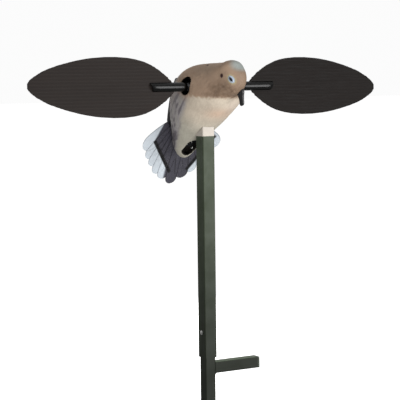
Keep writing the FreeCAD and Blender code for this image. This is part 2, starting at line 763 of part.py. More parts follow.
def feather_blade(share):
    """A round-ended blade; share runs from -1 to 1 across the fan, which is cupped towards the belly."""
    outer = abs(share)
    length = dim("tail_length") - (dim("tail_length") - OUTER_FEATHER) * outer ** 1.2
    width = MIDDLE_WIDTH + (OUTER_WIDTH - MIDDLE_WIDTH) * outer
    root = MIDDLE_ROOT + (OUTER_ROOT - MIDDLE_ROOT) * outer
    straight = length - width / 2
    slab = Part.makeBox(width, straight - root, dim("tail_thickness"), Vector(-width / 2, root, 0))
    tip = Part.makeCylinder(width / 2, dim("tail_thickness"), Vector(0, straight, 0))
    blade = slab.fuse(tip)
    blade.rotate(Vector(0, 0, 0), Vector(0, 1, 0), -OUTER_ROLL * share)
    blade.rotate(Vector(0, 0, 0), Vector(1, 0, 0), -OUTER_DROOP * outer ** 2)
    blade.rotate(Vector(0, 0, 0), Vector(0, 0, 1), share * FEATHER_SPREAD)
    return blade


def tail_shape():
    fan = None
    for k in range(FEATHER_COUNT):
        blade = feather_blade(2 * k / (FEATHER_COUNT - 1) - 1)
        fan = blade if fan is None else fan.fuse(blade)
    fan = fan.removeSplitter()
    fan.Placement = Placement(Vector(*TAIL_ROOT), Rotation(Vector(1, 0, 0), -dim("tail_pitch")))
    return fan.cut(bird_box(COVER_HALF + 1, COVER_FROM, COVER_TO + 1, 12, 70))


def head_point(across, forward, height):
    return HEAD_PLACEMENT.multVec(Vector(across, -forward, height - dim("head_z")))


def beak_shape():
    base = head_point(0, 11.8, 397.5)
    tip = head_point(0, 15.6, 375.5)
    run = tip - base
    cone = Part.makeCone(4.8, 1.6, run.Length, base, run)
    end = Part.makeSphere(1.6, tip)
    return cone.fuse(end)


def eye_shapes():
    eyes = []
    for sign in (-1, 1):
        centre = head_point(sign * 10.9, 6.9, 409.5)
        eyes.append(Part.makeSphere(6.0, centre).cut(head_form(0)).cut(placed(body_egg(0))))
    return eyes


def flank_slot():
    """A round-ended upright slot right through both flanks, centred on the wing axis."""
    width, height = dim("flank_slot_width"), dim("flank_slot_height")
    axis_y, axis_z = dim("wing_axis_y"), dim("wing_axis_z") + 1.5
    half_straight = (height - width) / 2
    corner = Vector(-80, axis_y - width / 2, axis_z - half_straight)
    shape = Part.makeBox(160, width, 2 * half_straight, corner)
    for end in (-1, 1):
        centre = Vector(-80, axis_y, axis_z + end * half_straight)
        shape = shape.fuse(Part.makeCylinder(width / 2, 160, centre, Vector(1, 0, 0)))
    return shape


BELLY_SLOT_HALF, BELLY_SLOT_FROM, BELLY_SLOT_TO = 10.5, 67.0, 106.5


def belly_slot():
    half = BELLY_SLOT_HALF
    ends = (BELLY_SLOT_FROM + half, BELLY_SLOT_TO - half)
    slot = Part.makeBox(2 * half, ends[1] - ends[0], 30, Vector(-half, ends[0], -42))
    for aft in ends:
        slot = slot.fuse(Part.makeCylinder(half, 30, Vector(0, aft, -42)))
    return placed(slot)


def make_shell():
    wall = dim("shell_wall")
    beak, tail = beak_shape(), tail_shape()
    keep(feature("beak", beak.cut(bird_form(0))), "beak")
    keep(feature("eyes", Part.makeCompound(eye_shapes())), "eyes")
    keep(feature("tail_fan", tail), "tail_fan")
    shell = bird_form(0).cut(bird_form(-wall))
    side = dim("pole_side")
    post = Part.makeBox(side, side, 60, Vector(-side / 2, -side / 2, 290))
    hatch = bird_box(HATCH_HALF, HATCH_FROM, HATCH_TO, 8, 60)
    for tool in (flank_slot(), belly_slot(), post, hatch, tail):
        shell = shell.cut(tool)
    # the tail lies just under the back, and its slit leaves a loose sliver above it
    shell = max(shell.Solids, key=lambda solid: solid.Volume)
    keep(feature("body_shell", shell), "body_shell")


# ---------------------------------------------------------------- internal lead

LEAD_RADIUS = 1.1
LEAD_ROUTE = [(-14.6, -20.0, 392.0), (-22.0, -19.0, 388.0), (-27.0, -12.0, 371.0),
              (-26.5, 4.0, 354.5), (-21.0, 22.0, 341.3), (-15.8, 37.0, 332.8), (-4.4, 46.5, 328.3)]


def tangent_path(points):
    """Straight runs joined by tangent arcs as large as the runs allow."""
    edges = []
    start = points[0]
    for index in range(1, len(points) - 1):
        here = points[index]
        before = points[index - 1] - here
        after = points[index + 1] - here
        turn = math.pi - before.getAngle(after)
        trim = 0.45 * min(before.Length, after.Length)
        radius = trim / math.tan(turn / 2)
        print(f"lead bend radius {radius:.1f} mm")
        enter = here + before.normalize() * trim
        leave = here + after.normalize() * trim
        inward = (before + after).normalize()
        middle = here + inward * (radius / math.cos(turn / 2) - radius)
        edges.append(Part.LineSegment(start, enter).toShape())
        edges.append(Part.Arc(enter, middle, leave).toShape())
        start = leave
    edges.append(Part.LineSegment(start, points[-1]).toShape())
    return Part.Wire(edges)


def make_lead():
    """Two-core lead between the motor and the switch, clipped along the shell's inside."""
    points = [Vector(*point) for point in LEAD_ROUTE]
    path = tangent_path(points)
    circle = Part.Wire(Part.Circle(points[0], points[1] - points[0], LEAD_RADIUS).toShape())
    tube = path.makePipeShell([circle], True, True)
    expected = math.pi * LEAD_RADIUS ** 2 * path.Length
    print(f"lead volume {tube.Volume:.1f}, section times length {expected:.1f}")
    keep(feature("motor_lead", tube), "motor_lead")


# ---------------------------------------------------------------- build, check, export

def build():
    make_lower_tube()
    make_upper_tube()
    make_stake_point()
    make_foot_step()
    make_step_end_cap()
    make_step_gusset()
    make_snap()
    make_mount_post()
    make_motor_frame()
    make_motor_strap()
    make_motor()
    make_shaft_line()
    for side, sign in SIDES.items():
        make_wing(side, sign)
    make_battery_box()
    make_back_cover()
    make_cover_hinge()
    make_switch()
    make_shell()
    make_lead()


def check():
    doc.recompute()
    for obj in doc.Objects:
        if {"Invalid", "Error"} & set(obj.State):
            raise RuntimeError(f"{obj.Name} failed: {obj.State}")
    for obj in NODES:
        if obj.Shape.isNull() or not obj.Shape.isValid():
            raise RuntimeError(f"{obj.Label} has no valid shape")
        if not obj.Shape.Solids:
            raise RuntimeError(f"{obj.Label} has no solid")


def export():
    os.makedirs("parts", exist_ok=True)
    for obj in NODES:
        obj.Shape.exportStep(os.path.join("parts", obj.Label + ".step"))


build()
check()
export()
print(len(NODES), "nodes written")
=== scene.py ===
"""Motion wing decoy: the looks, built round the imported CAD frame.

Lengths are millimetres until they reach a mesh. Meshes, shaders, lights and the camera
are in metres.
"""

import json
import math

import bmesh
import bpy
import numpy as np
from mathutils import Matrix, Vector


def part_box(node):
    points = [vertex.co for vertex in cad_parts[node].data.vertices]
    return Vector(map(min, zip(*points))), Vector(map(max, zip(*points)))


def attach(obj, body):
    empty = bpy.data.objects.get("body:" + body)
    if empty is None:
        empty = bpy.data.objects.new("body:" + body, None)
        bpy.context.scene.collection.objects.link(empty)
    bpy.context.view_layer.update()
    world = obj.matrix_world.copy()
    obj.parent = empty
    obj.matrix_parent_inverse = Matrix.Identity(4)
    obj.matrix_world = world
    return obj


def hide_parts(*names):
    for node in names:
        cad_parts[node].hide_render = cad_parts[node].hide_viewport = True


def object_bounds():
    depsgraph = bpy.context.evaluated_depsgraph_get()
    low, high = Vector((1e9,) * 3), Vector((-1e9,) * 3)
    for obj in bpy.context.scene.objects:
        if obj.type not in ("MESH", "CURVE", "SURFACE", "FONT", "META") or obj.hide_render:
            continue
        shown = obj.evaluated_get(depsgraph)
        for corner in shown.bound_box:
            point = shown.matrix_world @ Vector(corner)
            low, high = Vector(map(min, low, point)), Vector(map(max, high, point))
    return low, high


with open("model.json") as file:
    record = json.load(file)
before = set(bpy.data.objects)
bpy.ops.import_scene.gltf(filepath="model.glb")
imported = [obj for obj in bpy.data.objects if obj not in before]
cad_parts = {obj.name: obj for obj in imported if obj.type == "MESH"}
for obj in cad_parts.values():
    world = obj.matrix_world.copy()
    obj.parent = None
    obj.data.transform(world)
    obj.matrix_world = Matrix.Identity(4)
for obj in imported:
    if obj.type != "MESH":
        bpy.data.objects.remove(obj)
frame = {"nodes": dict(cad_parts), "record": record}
CAD_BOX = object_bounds()
MM = 0.001

# ------------------------ the object's own axes

BIRD_ORIGIN = np.array([0.0, -15.0, 388.0])
BIRD_PITCH = math.radians(40)       # how far the body slopes down towards the tail
AFT = np.array([0.0, math.cos(BIRD_PITCH), -math.sin(BIRD_PITCH)])
UP = np.array([0.0, math.sin(BIRD_PITCH), math.cos(BIRD_PITCH)])
CENTRE_LINE = np.array([            # (aft, up) along the middle of the body
    [-60, -11.5], [-44, -7.0], [-23, -0.3], [8, 7.2], [32, 7.7],
    [55, 5.5], [75, 1.2], [95, -4.0], [115, -12.0],
])

HEAD = np.array([2.5, -65.5, 411.0])
HEAD_TURN = math.radians(38)
FORWARD = np.array([math.sin(HEAD_TURN), -math.cos(HEAD_TURN), 0.0])
ACROSS = np.array([math.cos(HEAD_TURN), math.sin(HEAD_TURN), 0.0])
HEAD_HALF = (16.5, 20.5, 24.0)      # the head's half sizes across, forward and in height

WING_AXIS = np.array([0.0, -20.0, 400.0])

TAIL_ROOT = np.array([0.0, 56.0, 356.0])
TAIL_PITCH = math.radians(64.5)
TAIL_ALONG = np.array([0.0, math.cos(TAIL_PITCH), -math.sin(TAIL_PITCH)])
TAIL_OUT = np.array([0.0, math.sin(TAIL_PITCH), math.cos(TAIL_PITCH)])


def head_point(across, forward, z):
    """A point given from the head's own axes and its height."""
    p = HEAD + across * ACROSS + forward * FORWARD
    return np.array([p[0], p[1], z])


def bird_coords(points):
    """(aft, up, lateral) of points in the bird's axes."""
    d = points - BIRD_ORIGIN
    return d @ AFT, d @ UP, d[:, 0]


def head_coords(points):
    """(across, forward, height) of points from the head's centre."""
    d = points - HEAD
    return d @ ACROSS, d @ FORWARD, d[:, 2]


# ------------------------ numbers and noise


def smooth(low, high, value):
    """0 below low, 1 above high, smooth between; low may be above high."""
    t = np.clip((np.asarray(value, float) - low) / (high - low), 0, 1)
    return t * t * (3 - 2 * t)


def blob(points, centre, radius):
    """1 at centre, falling to nothing at about twice the radius."""
    d = (points - np.array(centre)) / np.array(radius)
    return np.exp(-(d * d).sum(1))


def linear(r, g, b):
    """An 8-bit screen colour as the linear colour that shaders use."""
    out = []
    for v in (r, g, b):
        v = v / 255
        out.append(v / 12.92 if v <= 0.04045 else ((v + 0.055) / 1.055) ** 2.4)
    return np.array(out)


def unit(vector):
    return vector / np.linalg.norm(vector)


def ellipsoid(parts, halves):
    """1 on the surface of the ellipsoid with these half sizes, less inside it."""
    return np.sqrt(sum((part / half) ** 2 for part, half in zip(parts, halves)))


def lattice_noise(points, cell, seed):
    """Smooth value noise from 0 to 1, the same on every run."""
    q = points / cell
    base = np.floor(q).astype(np.int64)
    f = q - base
    f = f * f * (3 - 2 * f)
    total = np.zeros(len(points))
    for corner in range(8):
        step = np.array([corner & 1, corner >> 1 & 1, corner >> 2 & 1])
        key = (base + step) @ np.array([73856093, 19349663, 83492791]) + seed * 6971
        key = (key ^ (key >> 13)) * 1274126177 & 0x7FFFFFFF
        value = ((key ^ (key >> 11)) & 0xFFFF) / 65535
        weight = np.prod(np.where(step, f, 1 - f), axis=1)
        total += value * weight
    return total


# ------------------------ meshes


def set_smooth(mesh):
    mesh.polygons.foreach_set("use_smooth", [True] * len(mesh.polygons))


def mesh_piece(name, verts, faces, body):
    """A new smooth piece from millimetre vertices, riding on a body."""
    mesh = bpy.data.meshes.new(name)
    mesh.from_pydata((np.asarray(verts) * MM).tolist(), [], faces)
    mesh.validate()
    set_smooth(mesh)
    mesh.update()
    piece = bpy.data.objects.new(name, mesh)
    bpy.context.scene.collection.objects.link(piece)
    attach(piece, body)
    return piece


def applied(piece):
    """The piece with its modifiers made part of its mesh."""
    depsgraph = bpy.context.evaluated_depsgraph_get()
    done = bpy.data.meshes.new_from_object(piece.evaluated_get(depsgraph))
    piece.modifiers.clear()
    piece.data = done
    return piece


def vertices_of(mesh):
    co = np.empty(len(mesh.vertices) * 3, np.float32)
    mesh.vertices.foreach_get("co", co)
    return co.reshape(-1, 3).astype(float) / MM


def normals_of(mesh):
    out = np.empty(len(mesh.vertices) * 3, np.float32)
    mesh.vertex_normals.foreach_get("vector", out)
    return out.reshape(-1, 3).astype(float)


def set_vertices(mesh, points):
    mesh.vertices.foreach_set("co", (points * MM).astype(np.float32).ravel())
    mesh.update()


def edges_of(mesh):
    out = np.empty(len(mesh.edges) * 2, np.int32)
    mesh.edges.foreach_get("vertices", out)
    return out.reshape(-1, 2)


def relax(points, edges, weight, rounds):
    """Moves each vertex towards its neighbours' mean, by weight, several times."""
    n = len(points)
    count = np.bincount(edges.ravel(), minlength=n)[:, None]
    both = np.concatenate([edges, edges[:, ::-1]])
    for _ in range(rounds):
        mean = np.stack(
            [np.bincount(both[:, 0], points[both[:, 1], k], n) for k in range(3)], 1
        ) / np.maximum(count, 1)
        points = points + (mean - points) * weight[:, None]
    return points


def set_paint(mesh, colours):
    """A colour for each vertex, for the shader to read."""
    layer = mesh.color_attributes.new("paint", "FLOAT_COLOR", "POINT")
    rgba = np.ones((len(colours), 4), np.float32)
    rgba[:, :3] = colours
    layer.data.foreach_set("color", rgba.ravel())


def set_number(mesh, name, values):
    layer = mesh.attributes.new(name, "FLOAT", "POINT")
    layer.data.foreach_set("value", np.asarray(values, np.float32))


def set_flow(mesh, values):
    """A direction-following coordinate in metres for each vertex."""
    layer = mesh.attributes.new("flow", "FLOAT_VECTOR", "POINT")
    layer.data.foreach_set("vector", (values * MM).astype(np.float32).ravel())


def turns(around):
    """Angles evenly spread round a full turn."""
    return [2 * math.pi * j / around for j in range(around)]


def ring(index, around):
    """The vertex numbers of one closed ring."""
    return tuple(range(index * around, (index + 1) * around))


def ring_faces(rings, around):
    """Quads joining consecutive closed rings of the same count."""
    faces = []
    for i in range(rings - 1):
        this, other = i * around, (i + 1) * around
        for j in range(around):
            k = (j + 1) % around
            faces.append((this + j, this + k, other + k, other + j))
    return faces


def wind_faces(piece):
    """Winds the faces the same way round over each closed part."""
    bm = bmesh.new()
    bm.from_mesh(piece.data)
    bmesh.ops.recalc_face_normals(bm, faces=bm.faces)
    bm.to_mesh(piece.data)
    bm.free()


def sharpen(piece, degrees=38):
    """Breaks the smooth shading at edges sharper than degrees."""
    bm = bmesh.new()
    bm.from_mesh(piece.data)
    for edge in bm.edges:
        if len(edge.link_faces) == 2 and edge.calc_face_angle(0) > math.radians(degrees):
            edge.smooth = False
    bm.to_mesh(piece.data)
    bm.free()


# ------------------------ shader graphs


class Graph:
    """A material with a Principled shader, and short calls to add nodes to it.

    Sockets are given by name, with underscores for spaces.
    """

    def __init__(self, name, **sockets):
        self.material = bpy.data.materials.new(name)
        self.material.use_nodes = True
        self.tree = self.material.node_tree
        self.shader = self.tree.nodes["Principled BSDF"]
        for key, value in sockets.items():
            self.shader.inputs[key.replace("_", " ")].default_value = value

    def node(self, kind, inputs=None, **settings):
        made = self.tree.nodes.new(kind)
        for key, value in settings.items():
            setattr(made, key, value)
        for key, value in (inputs or {}).items():
            self.feed(made.inputs[key], value)
        return made

    def feed(self, socket, value):
        if isinstance(value, bpy.types.NodeSocket):
            self.tree.links.new(value, socket)
        else:
            socket.default_value = value

    def place(self):
        """Object coordinates, in metres."""
        return self.node("ShaderNodeTexCoord").outputs["Object"]

    def stretched(self, source, scale):
        made = self.node("ShaderNodeMapping", {"Vector": source, "Scale": scale})
        return made.outputs["Vector"]

    def attribute(self, name):
        return self.node("ShaderNodeAttribute", attribute_name=name)

    def noise(self, vector, scale, detail=3.0, roughness=0.55):
        made = self.node(
            "ShaderNodeTexNoise",
            {"Vector": vector, "Scale": scale, "Detail": detail, "Roughness": roughness},
        )
        return made.outputs["Fac"]

    def math(self, operation, a, b=0.0):
        return self.node("ShaderNodeMath", {0: a, 1: b}, operation=operation).outputs[0]

    def span(self, value, low, high, to_low=0.0, to_high=1.0):
        """value from low to high, taken smoothly to to_low and to_high."""
        inputs = {
            "Value": value,
            "From Min": low,
            "From Max": high,
            "To Min": to_low,
            "To Max": to_high,
        }
        made = self.node("ShaderNodeMapRange", inputs, interpolation_type="SMOOTHSTEP")
        return made.outputs["Result"]

    def mix(self, factor, a, b, blend="MIX"):
        made = self.node("ShaderNodeMix", data_type="RGBA", blend_type=blend)
        for index, value in ((0, factor), (6, a), (7, b)):
            if isinstance(value, (tuple, list, np.ndarray)):
                value = (*value[:3], 1.0)
            self.feed(made.inputs[index], value)
        return made.outputs[2]

    def bump(self, height, strength, distance, under=None):
        inputs = {"Height": height, "Strength": strength, "Distance": distance}
        if under is not None:
            inputs["Normal"] = under
        return self.node("ShaderNodeBump", inputs).outputs["Normal"]

    def finish(self, colour=None, roughness=None, normal=None):
        if colour is not None:
            self.feed(self.shader.inputs["Base Color"], colour)
        if roughness is not None:
            self.feed(self.shader.inputs["Roughness"], roughness)
        if normal is not None:
            self.feed(self.shader.inputs["Normal"], normal)
        return self.material


# ------------------------ materials

SHADE_FROM, SHADE_TO = -0.03, 0.33  # heights in metres: the paint is darkened towards the ground as painted shade
TUBE_HALF = 9.525                   # half the upper tube's width


def painted_steel(name, colour, darker):
    """Powder-coated square tube: orange peel, faint clouding, darker rubbed corners, scuffs."""
    g = Graph(name, Metallic=0.0, IOR=1.5, Specular_IOR_Level=0.25)
    place = g.place()
    cloud = g.noise(place, 34.0, 3.0)
    long_cloud = g.noise(g.stretched(place, (1, 1, 0.12)), 120.0, 2.0)
    peel = g.noise(place, 1500.0, 2.0)
    fleck = g.noise(place, 3800.0, 1.0)
    axes = g.node("ShaderNodeSeparateXYZ", {0: place})
    near_x = g.math("ABSOLUTE", axes.outputs[0])
    near_y = g.math("ABSOLUTE", axes.outputs[1])
    corner = g.math("MINIMUM", near_x, near_y)
    edge = g.span(corner, (TUBE_HALF - 1.6) * MM, (TUBE_HALF - 0.7) * MM)
    scratch = g.noise(g.stretched(place, (1, 1, 0.08)), 900.0, 4.0, 0.7)
    scuff = g.math("MULTIPLY", g.span(scratch, 0.64, 0.74), g.span(cloud, 0.5, 0.68))
    tone = g.mix(g.span(cloud, 0.3, 0.7), colour, darker)
    tone = g.mix(g.math("MULTIPLY", g.span(long_cloud, 0.4, 0.75), 0.35), tone, darker)
    tone = g.mix(g.math("MULTIPLY", g.span(fleck, 0.55, 0.75), 0.16), tone, colour * 1.9)
    tone = g.mix(g.math("MULTIPLY", edge, 0.5), tone, darker * 0.45)
    tone = g.mix(g.math("MULTIPLY", scuff, 0.22), tone, colour * 2.2)
    # painted shade: the paint darkens towards the bottom of the pole
    painted_shade_low = g.span(axes.outputs[2], SHADE_FROM, SHADE_TO, 1.0, 0.0)
    tone = g.mix(painted_shade_low, tone, darker * 0.2)
    geometry = g.node("ShaderNodeNewGeometry")
    facing = g.node("ShaderNodeSeparateXYZ", {0: geometry.outputs["Normal"]})
    # lighter on faces that point up: wear from treading, and painted light from above
    trodden_and_top_lit = g.span(facing.outputs[2], 0.6, 0.95)
    tone = g.mix(g.math("MULTIPLY", trodden_and_top_lit, 0.85), tone, colour * 2.1)
    rough = g.span(cloud, 0.25, 0.75, 0.44, 0.58)
    return g.finish(tone, rough, g.bump(peel, 0.22, 0.00018))


def moulded(name, colour, rough, grain=1400.0, depth=0.00012, tint=0.7, **sockets):
    """Moulded plastic: fine grain, slight mottling, soft handling marks."""
    g = Graph(name, Metallic=0.0, **sockets)
    place = g.place()
    cloud = g.noise(place, 60.0, 4.0)
    fine = g.noise(place, grain, 3.0)
    rub = g.noise(g.stretched(place, (1, 0.15, 1)), 420.0, 4.0, 0.7)
    tone = g.mix(g.span(cloud, 0.3, 0.7), colour, colour * tint)
    tone = g.mix(g.math("MULTIPLY", g.span(fine, 0.4, 0.7), 0.12), tone, colour * 1.5)
    shine = g.span(rub, 0.3, 0.75, rough - 0.06, rough + 0.08)
    return g.finish(tone, shine, g.bump(fine, 0.3, depth))


def metal(name, colour, rough, brushed=(1, 1, 1)):
    """Bare or plated metal with fine working marks and a little tarnish."""
    g = Graph(name, Metallic=1.0)
    place = g.place()
    lines = g.noise(g.stretched(place, brushed), 900.0, 4.0, 0.65)
    cloud = g.noise(place, 130.0, 4.0)
    tone = g.mix(g.span(cloud, 0.45, 0.8, 0.0, 0.25), colour, colour * 0.45)
    tone = g.mix(g.span(lines, 0.3, 0.7, 0.0, 0.25), tone, colour * 0.7)
    shine = g.span(lines, 0.25, 0.75, rough - 0.08, rough + 0.12)
    return g.finish(tone, shine, g.bump(lines, 0.2, 0.00004))


def plumage(name, fine=1.0):
    """Airbrushed paint over moulded feathers: barbs along the flow, mottled pigment.

    Reads the mesh's paint (its colour), relief (painted shade, 1 in the gaps between feathers) and
    flow.
    """
    g = Graph(name, Metallic=0.0, IOR=1.46, Specular_IOR_Level=0.28)
    paint = g.attribute("paint").outputs["Color"]
    gap_shade = g.attribute("gap_shade").outputs["Fac"]
    flow = g.attribute("flow").outputs["Vector"]
    barbs = g.noise(g.stretched(flow, (0.22, 1, 1)), 1500.0 * fine, 3.0, 0.6)
    strokes = g.noise(g.stretched(flow, (0.3, 1, 1)), 520.0 * fine, 4.0, 0.65)
    speckle = g.noise(g.stretched(flow, (0.6, 1, 1)), 1900.0, 2.0, 0.6)
    haze = g.noise(flow, 60.0, 3.0)
    dark = g.mix(1.0, paint, (0.66, 0.63, 0.62), "MULTIPLY")
    pale = g.mix(0.34, paint, (0.86, 0.83, 0.78))
    tone = g.mix(g.span(strokes, 0.38, 0.7, 0.0, 0.34), paint, dark)
    tone = g.mix(g.span(speckle, 0.5, 0.72, 0.0, 0.3), tone, pale)
    tone = g.mix(g.span(haze, 0.35, 0.7, 0.0, 0.14), tone, dark)
    # painted shade in the gaps between feathers
    tone = g.mix(g.math("MULTIPLY", gap_shade, 0.4), tone, dark)
    rough = g.span(strokes, 0.3, 0.7, 0.5, 0.64)
    normal = g.bump(strokes, 0.35, 0.00028)
    return g.finish(tone, rough, g.bump(barbs, 0.4, 0.00016, normal))


def wing_skin(name, colour, lighter):
    """Fluted sheet: satin skin, lengthways drag marks, dust in the flutes.

    Reads the mesh's rib, over 0 along the webs, which are lighter lines of the sheet, and along the
    spar, where it is a painted highlight.
    """
    g = Graph(name, Metallic=0.0, IOR=1.49, Specular_IOR_Level=0.12)
    place = g.place()
    rib_and_glint = g.attribute("rib_and_glint").outputs["Fac"]
    drag = g.noise(g.stretched(place, (0.05, 1, 1)), 900.0, 4.0, 0.6)
    cloud = g.noise(g.stretched(place, (0.4, 1, 1)), 38.0, 3.0)
    dust = g.noise(place, 2600.0, 2.0, 0.6)
    tone = g.mix(g.span(drag, 0.4, 0.72, 0.0, 0.4), colour, lighter)
    tone = g.mix(g.span(cloud, 0.3, 0.75, 0.0, 0.3), tone, colour * 0.7)
    tone = g.mix(g.math("MULTIPLY", g.span(dust, 0.6, 0.75), 0.18), tone, lighter * 1.5)
    # lighter along the webs, and a painted highlight along the spar
    tone = g.mix(g.math("MULTIPLY", rib_and_glint, 0.5), tone, lighter)
    rough = g.span(drag, 0.3, 0.7, 0.5, 0.64)
    return g.finish(tone, rough, g.bump(drag, 0.25, 0.00008))


def cell_wrap(name):
    """Plain shrink-wrapped cell: a dark, slightly creased sleeve."""
    g = Graph(name, Metallic=0.15, IOR=1.5)
    place = g.place()
    crease = g.noise(place, 700.0, 3.0)
    cloud = g.noise(place, 180.0, 3.0)
    tone = g.mix(g.span(cloud, 0.4, 0.7, 0.0, 0.5), linear(52, 58, 66), linear(38, 42, 48))
    return g.finish(tone, g.span(crease, 0.3, 0.7, 0.22, 0.34), g.bump(crease, 0.15, 0.0001))


OLIVE = linear(66, 74, 60)
OLIVE_DARK = linear(54, 62, 47)

MATERIALS = {
    "pole_paint": painted_steel("pole_paint", OLIVE, OLIVE_DARK),
    "black_plug": moulded("end_plug", linear(42, 50, 39), 0.5),
    "bright_steel": metal("bright_steel", linear(205, 205, 202), 0.26),
    "dark_steel": metal("dark_steel", linear(70, 70, 72), 0.36),
    "cream_plastic": moulded("cream_plastic", linear(186, 178, 168), 0.5, tint=0.92),
    "beak_gloss": moulded("beak_gloss", linear(30, 29, 30), 0.2, 900.0, 0.00008),
    "black_plastic": moulded("black_plastic", linear(26, 26, 28), 0.38),
    "cell_wrap": cell_wrap("cell_wrap"),
    "coupler_steel": metal("coupler_steel", linear(120, 120, 124), 0.34, (0.1, 1, 1)),
    "socket_gloss": moulded(
        "socket_gloss", linear(5, 5, 5), 0.2, 1100.0, 0.00005, Specular_IOR_Level=0.3
    ),
    "spar_rod": moulded("spar_rod", linear(44, 40, 38), 0.42),
    "lead_sheath": moulded("lead_sheath", linear(150, 34, 30), 0.4),
    "feather_paint": plumage("feather_paint"),
    "tail_paint": plumage("tail_paint", 0.8),
}
# The same sheet in two copies: the left wing's face is painted darker than the right's, as painted
# shade.
WING_FRONT = {
    "left": wing_skin("wing_front_left_shaded", linear(19, 15, 13), linear(33, 28, 26)),
    "right": wing_skin("wing_front_right_lit", linear(33, 28, 26), linear(50, 45, 42)),
}
WING_BACK = wing_skin("wing_back", linear(226, 224, 216), linear(240, 238, 232))
WING_RIM = moulded("wing_rim", linear(48, 44, 42), 0.5)


def dress(piece, *materials):
    piece.data.materials.clear()
    for m in materials:
        piece.data.materials.append(m)
    return piece


for part in frame["record"]["subparts"]:
    node = frame["nodes"].get(part.get("node") or part.get("name"))
    if node is not None and part["material_slot"] in MATERIALS:
        dress(node, MATERIALS[part["material_slot"]])


# ------------------------ the bird's shell

CREAM = linear(189, 177, 160)
ROSE = linear(194, 166, 144)
STONE = linear(166, 163, 150)
TAN = linear(158, 134, 113)
UMBER = linear(96, 77, 61)
MAUVE = linear(150, 145, 145)
SLATE = linear(92, 87, 92)
DUSK = linear(122, 111, 101)
CROWN = linear(150, 160, 158)
MOSS = linear(160, 154, 112)
ORBIT = linear(158, 172, 188)
MAROON = linear(48, 20, 22)
INSIDE = linear(44, 40, 36)
BLOOM = linear(204, 190, 176)
FAWN = linear(160, 140, 120)

VOXEL = 0.9                         # the remeshed shell's step
SHELL_ROUNDS, NECK_ROUNDS = 3, 260  # rounds of relaxing, for all of it and then for the neck
HEAD_FULLER = 0.045                 # how much the head grows from its centre
CROWN_FLATTER = 3.6                 # how much the crown then comes down
NECK_FILL = 9.0                     # how far the crease at the neck is filled out
NECK_CENTRE = BIRD_ORIGIN - 40 * AFT
GIRTH_AT = [-60, -40, 0, 40, 80, 115]
GIRTH = [20, 30, 42, 40, 26, 12]    # the body's rough radius at these places along it
PRIMARY = (7.5, 8.5)                # length and width of the feathers on the back
BREAST = (5.0, 5.6)                 # and of those on the breast and belly
PRIMARY_RISE, BREAST_RISE, TUFT_RISE = 0.42, 0.2, 0.3

EYE_Z = 409.5
EYE_ACROSS = 12.1
EYE_FORWARD = 4.6
EYE_AXIS = 0.95                     # radians from forward down to the eye's long axis
EYE_LONG, EYE_SHORT = 1.12, 0.64    # how the round eye is stretched
RING_AT = (14.5, EYE_FORWARD + 1.5, EYE_Z)
RING_HALF = (5.6, 3.9)              # the painted ring, along the eye's long and short axes
EAR_AT = (15, -7.8, 414.6)
EAR_HALF = (2.3, 3.1)
CROWN_AT, CROWN_HALF = (0, 10, 17), (15, 13, 11)
# a dark spot on the shoulder: painted shade standing for a small screw hole
SHOULDER_HOLE_SHADE = (-14.9, -33.7, 427.5)
SHOULDER_HOLE_SHADE_HALF = (2.0, 2.6, 8.0)

BREAST_MARKS = (                    # colour, centre, radii, strength
    (BLOOM, (14, -52, 372), (16, 18, 13), 0.5),
    (ROSE, (-4, -42, 362), (19, 14, 9), 0.75),
    (ROSE, (22, -36, 356), (16, 14, 9), 0.6),
)
NAPE_MARK = ((-16, -40, 424), (22, 16, 12))
# darker patches under the head: painted shade at the throat
THROAT_SHADE = (
    ((0, -72, 392), (25, 19, 11)),
    ((-14, -62, 396), (19, 17, 12)),
)


def over(base, colour, amount):
    """base painted over with colour, by amount at each vertex."""
    return base + (colour - base) * np.clip(amount, 0, 1)[:, None]


def scallops(along, round_, size):
    """Height from 0 to 1 of overlapping rounded feathers, the front ones on top."""
    length, width = size
    radius = 0.78 * length
    row_now = np.floor(along / length).astype(int)
    height = np.zeros(len(along))
    covered = np.zeros(len(along), bool)
    for back in (2, 1, 0, -1):
        row = row_now - back
        centre_s = (row + 0.5) * length
        shift = 0.5 * (row % 2)
        centre_a = (np.round(round_ / width - shift) + shift) * width
        d = np.hypot((along - centre_s) / radius, (round_ - centre_a) / (0.62 * width))
        lift = 0.35 + 0.65 * np.clip((along - centre_s) / radius * 0.5 + 0.5, 0, 1)
        use = (~covered) & (d < 1.0)
        height[use] = (lift * smooth(1.0, 0.8, d))[use]
        covered |= use
    return height


def paint_flanks(colour, aft, up, lateral, wobble):
    """Mauve back and flanks with slate and pale streaks, dusky towards the shoulders."""
    streak_at = np.stack([aft / 26.0, up / 3.2, lateral / 3.2], 1)
    streak = lattice_noise(streak_at, 1.0, 2)
    side = smooth(-15, -8, up + wobble * 0.5)
    flank = side * smooth(-16, 2, aft + wobble * 0.6)
    dark = flank * smooth(0.5, 0.72, streak) * smooth(32, -2, up)
    light = flank * smooth(0.45, 0.25, streak) * smooth(24, -6, up)
    colour = over(colour, MAUVE, flank)
    colour = over(colour, SLATE, dark * 0.85)
    colour = over(colour, STONE, light * 0.35)
    return over(colour, DUSK, side * smooth(4, 26, up) * smooth(70, 10, aft) * 0.7)


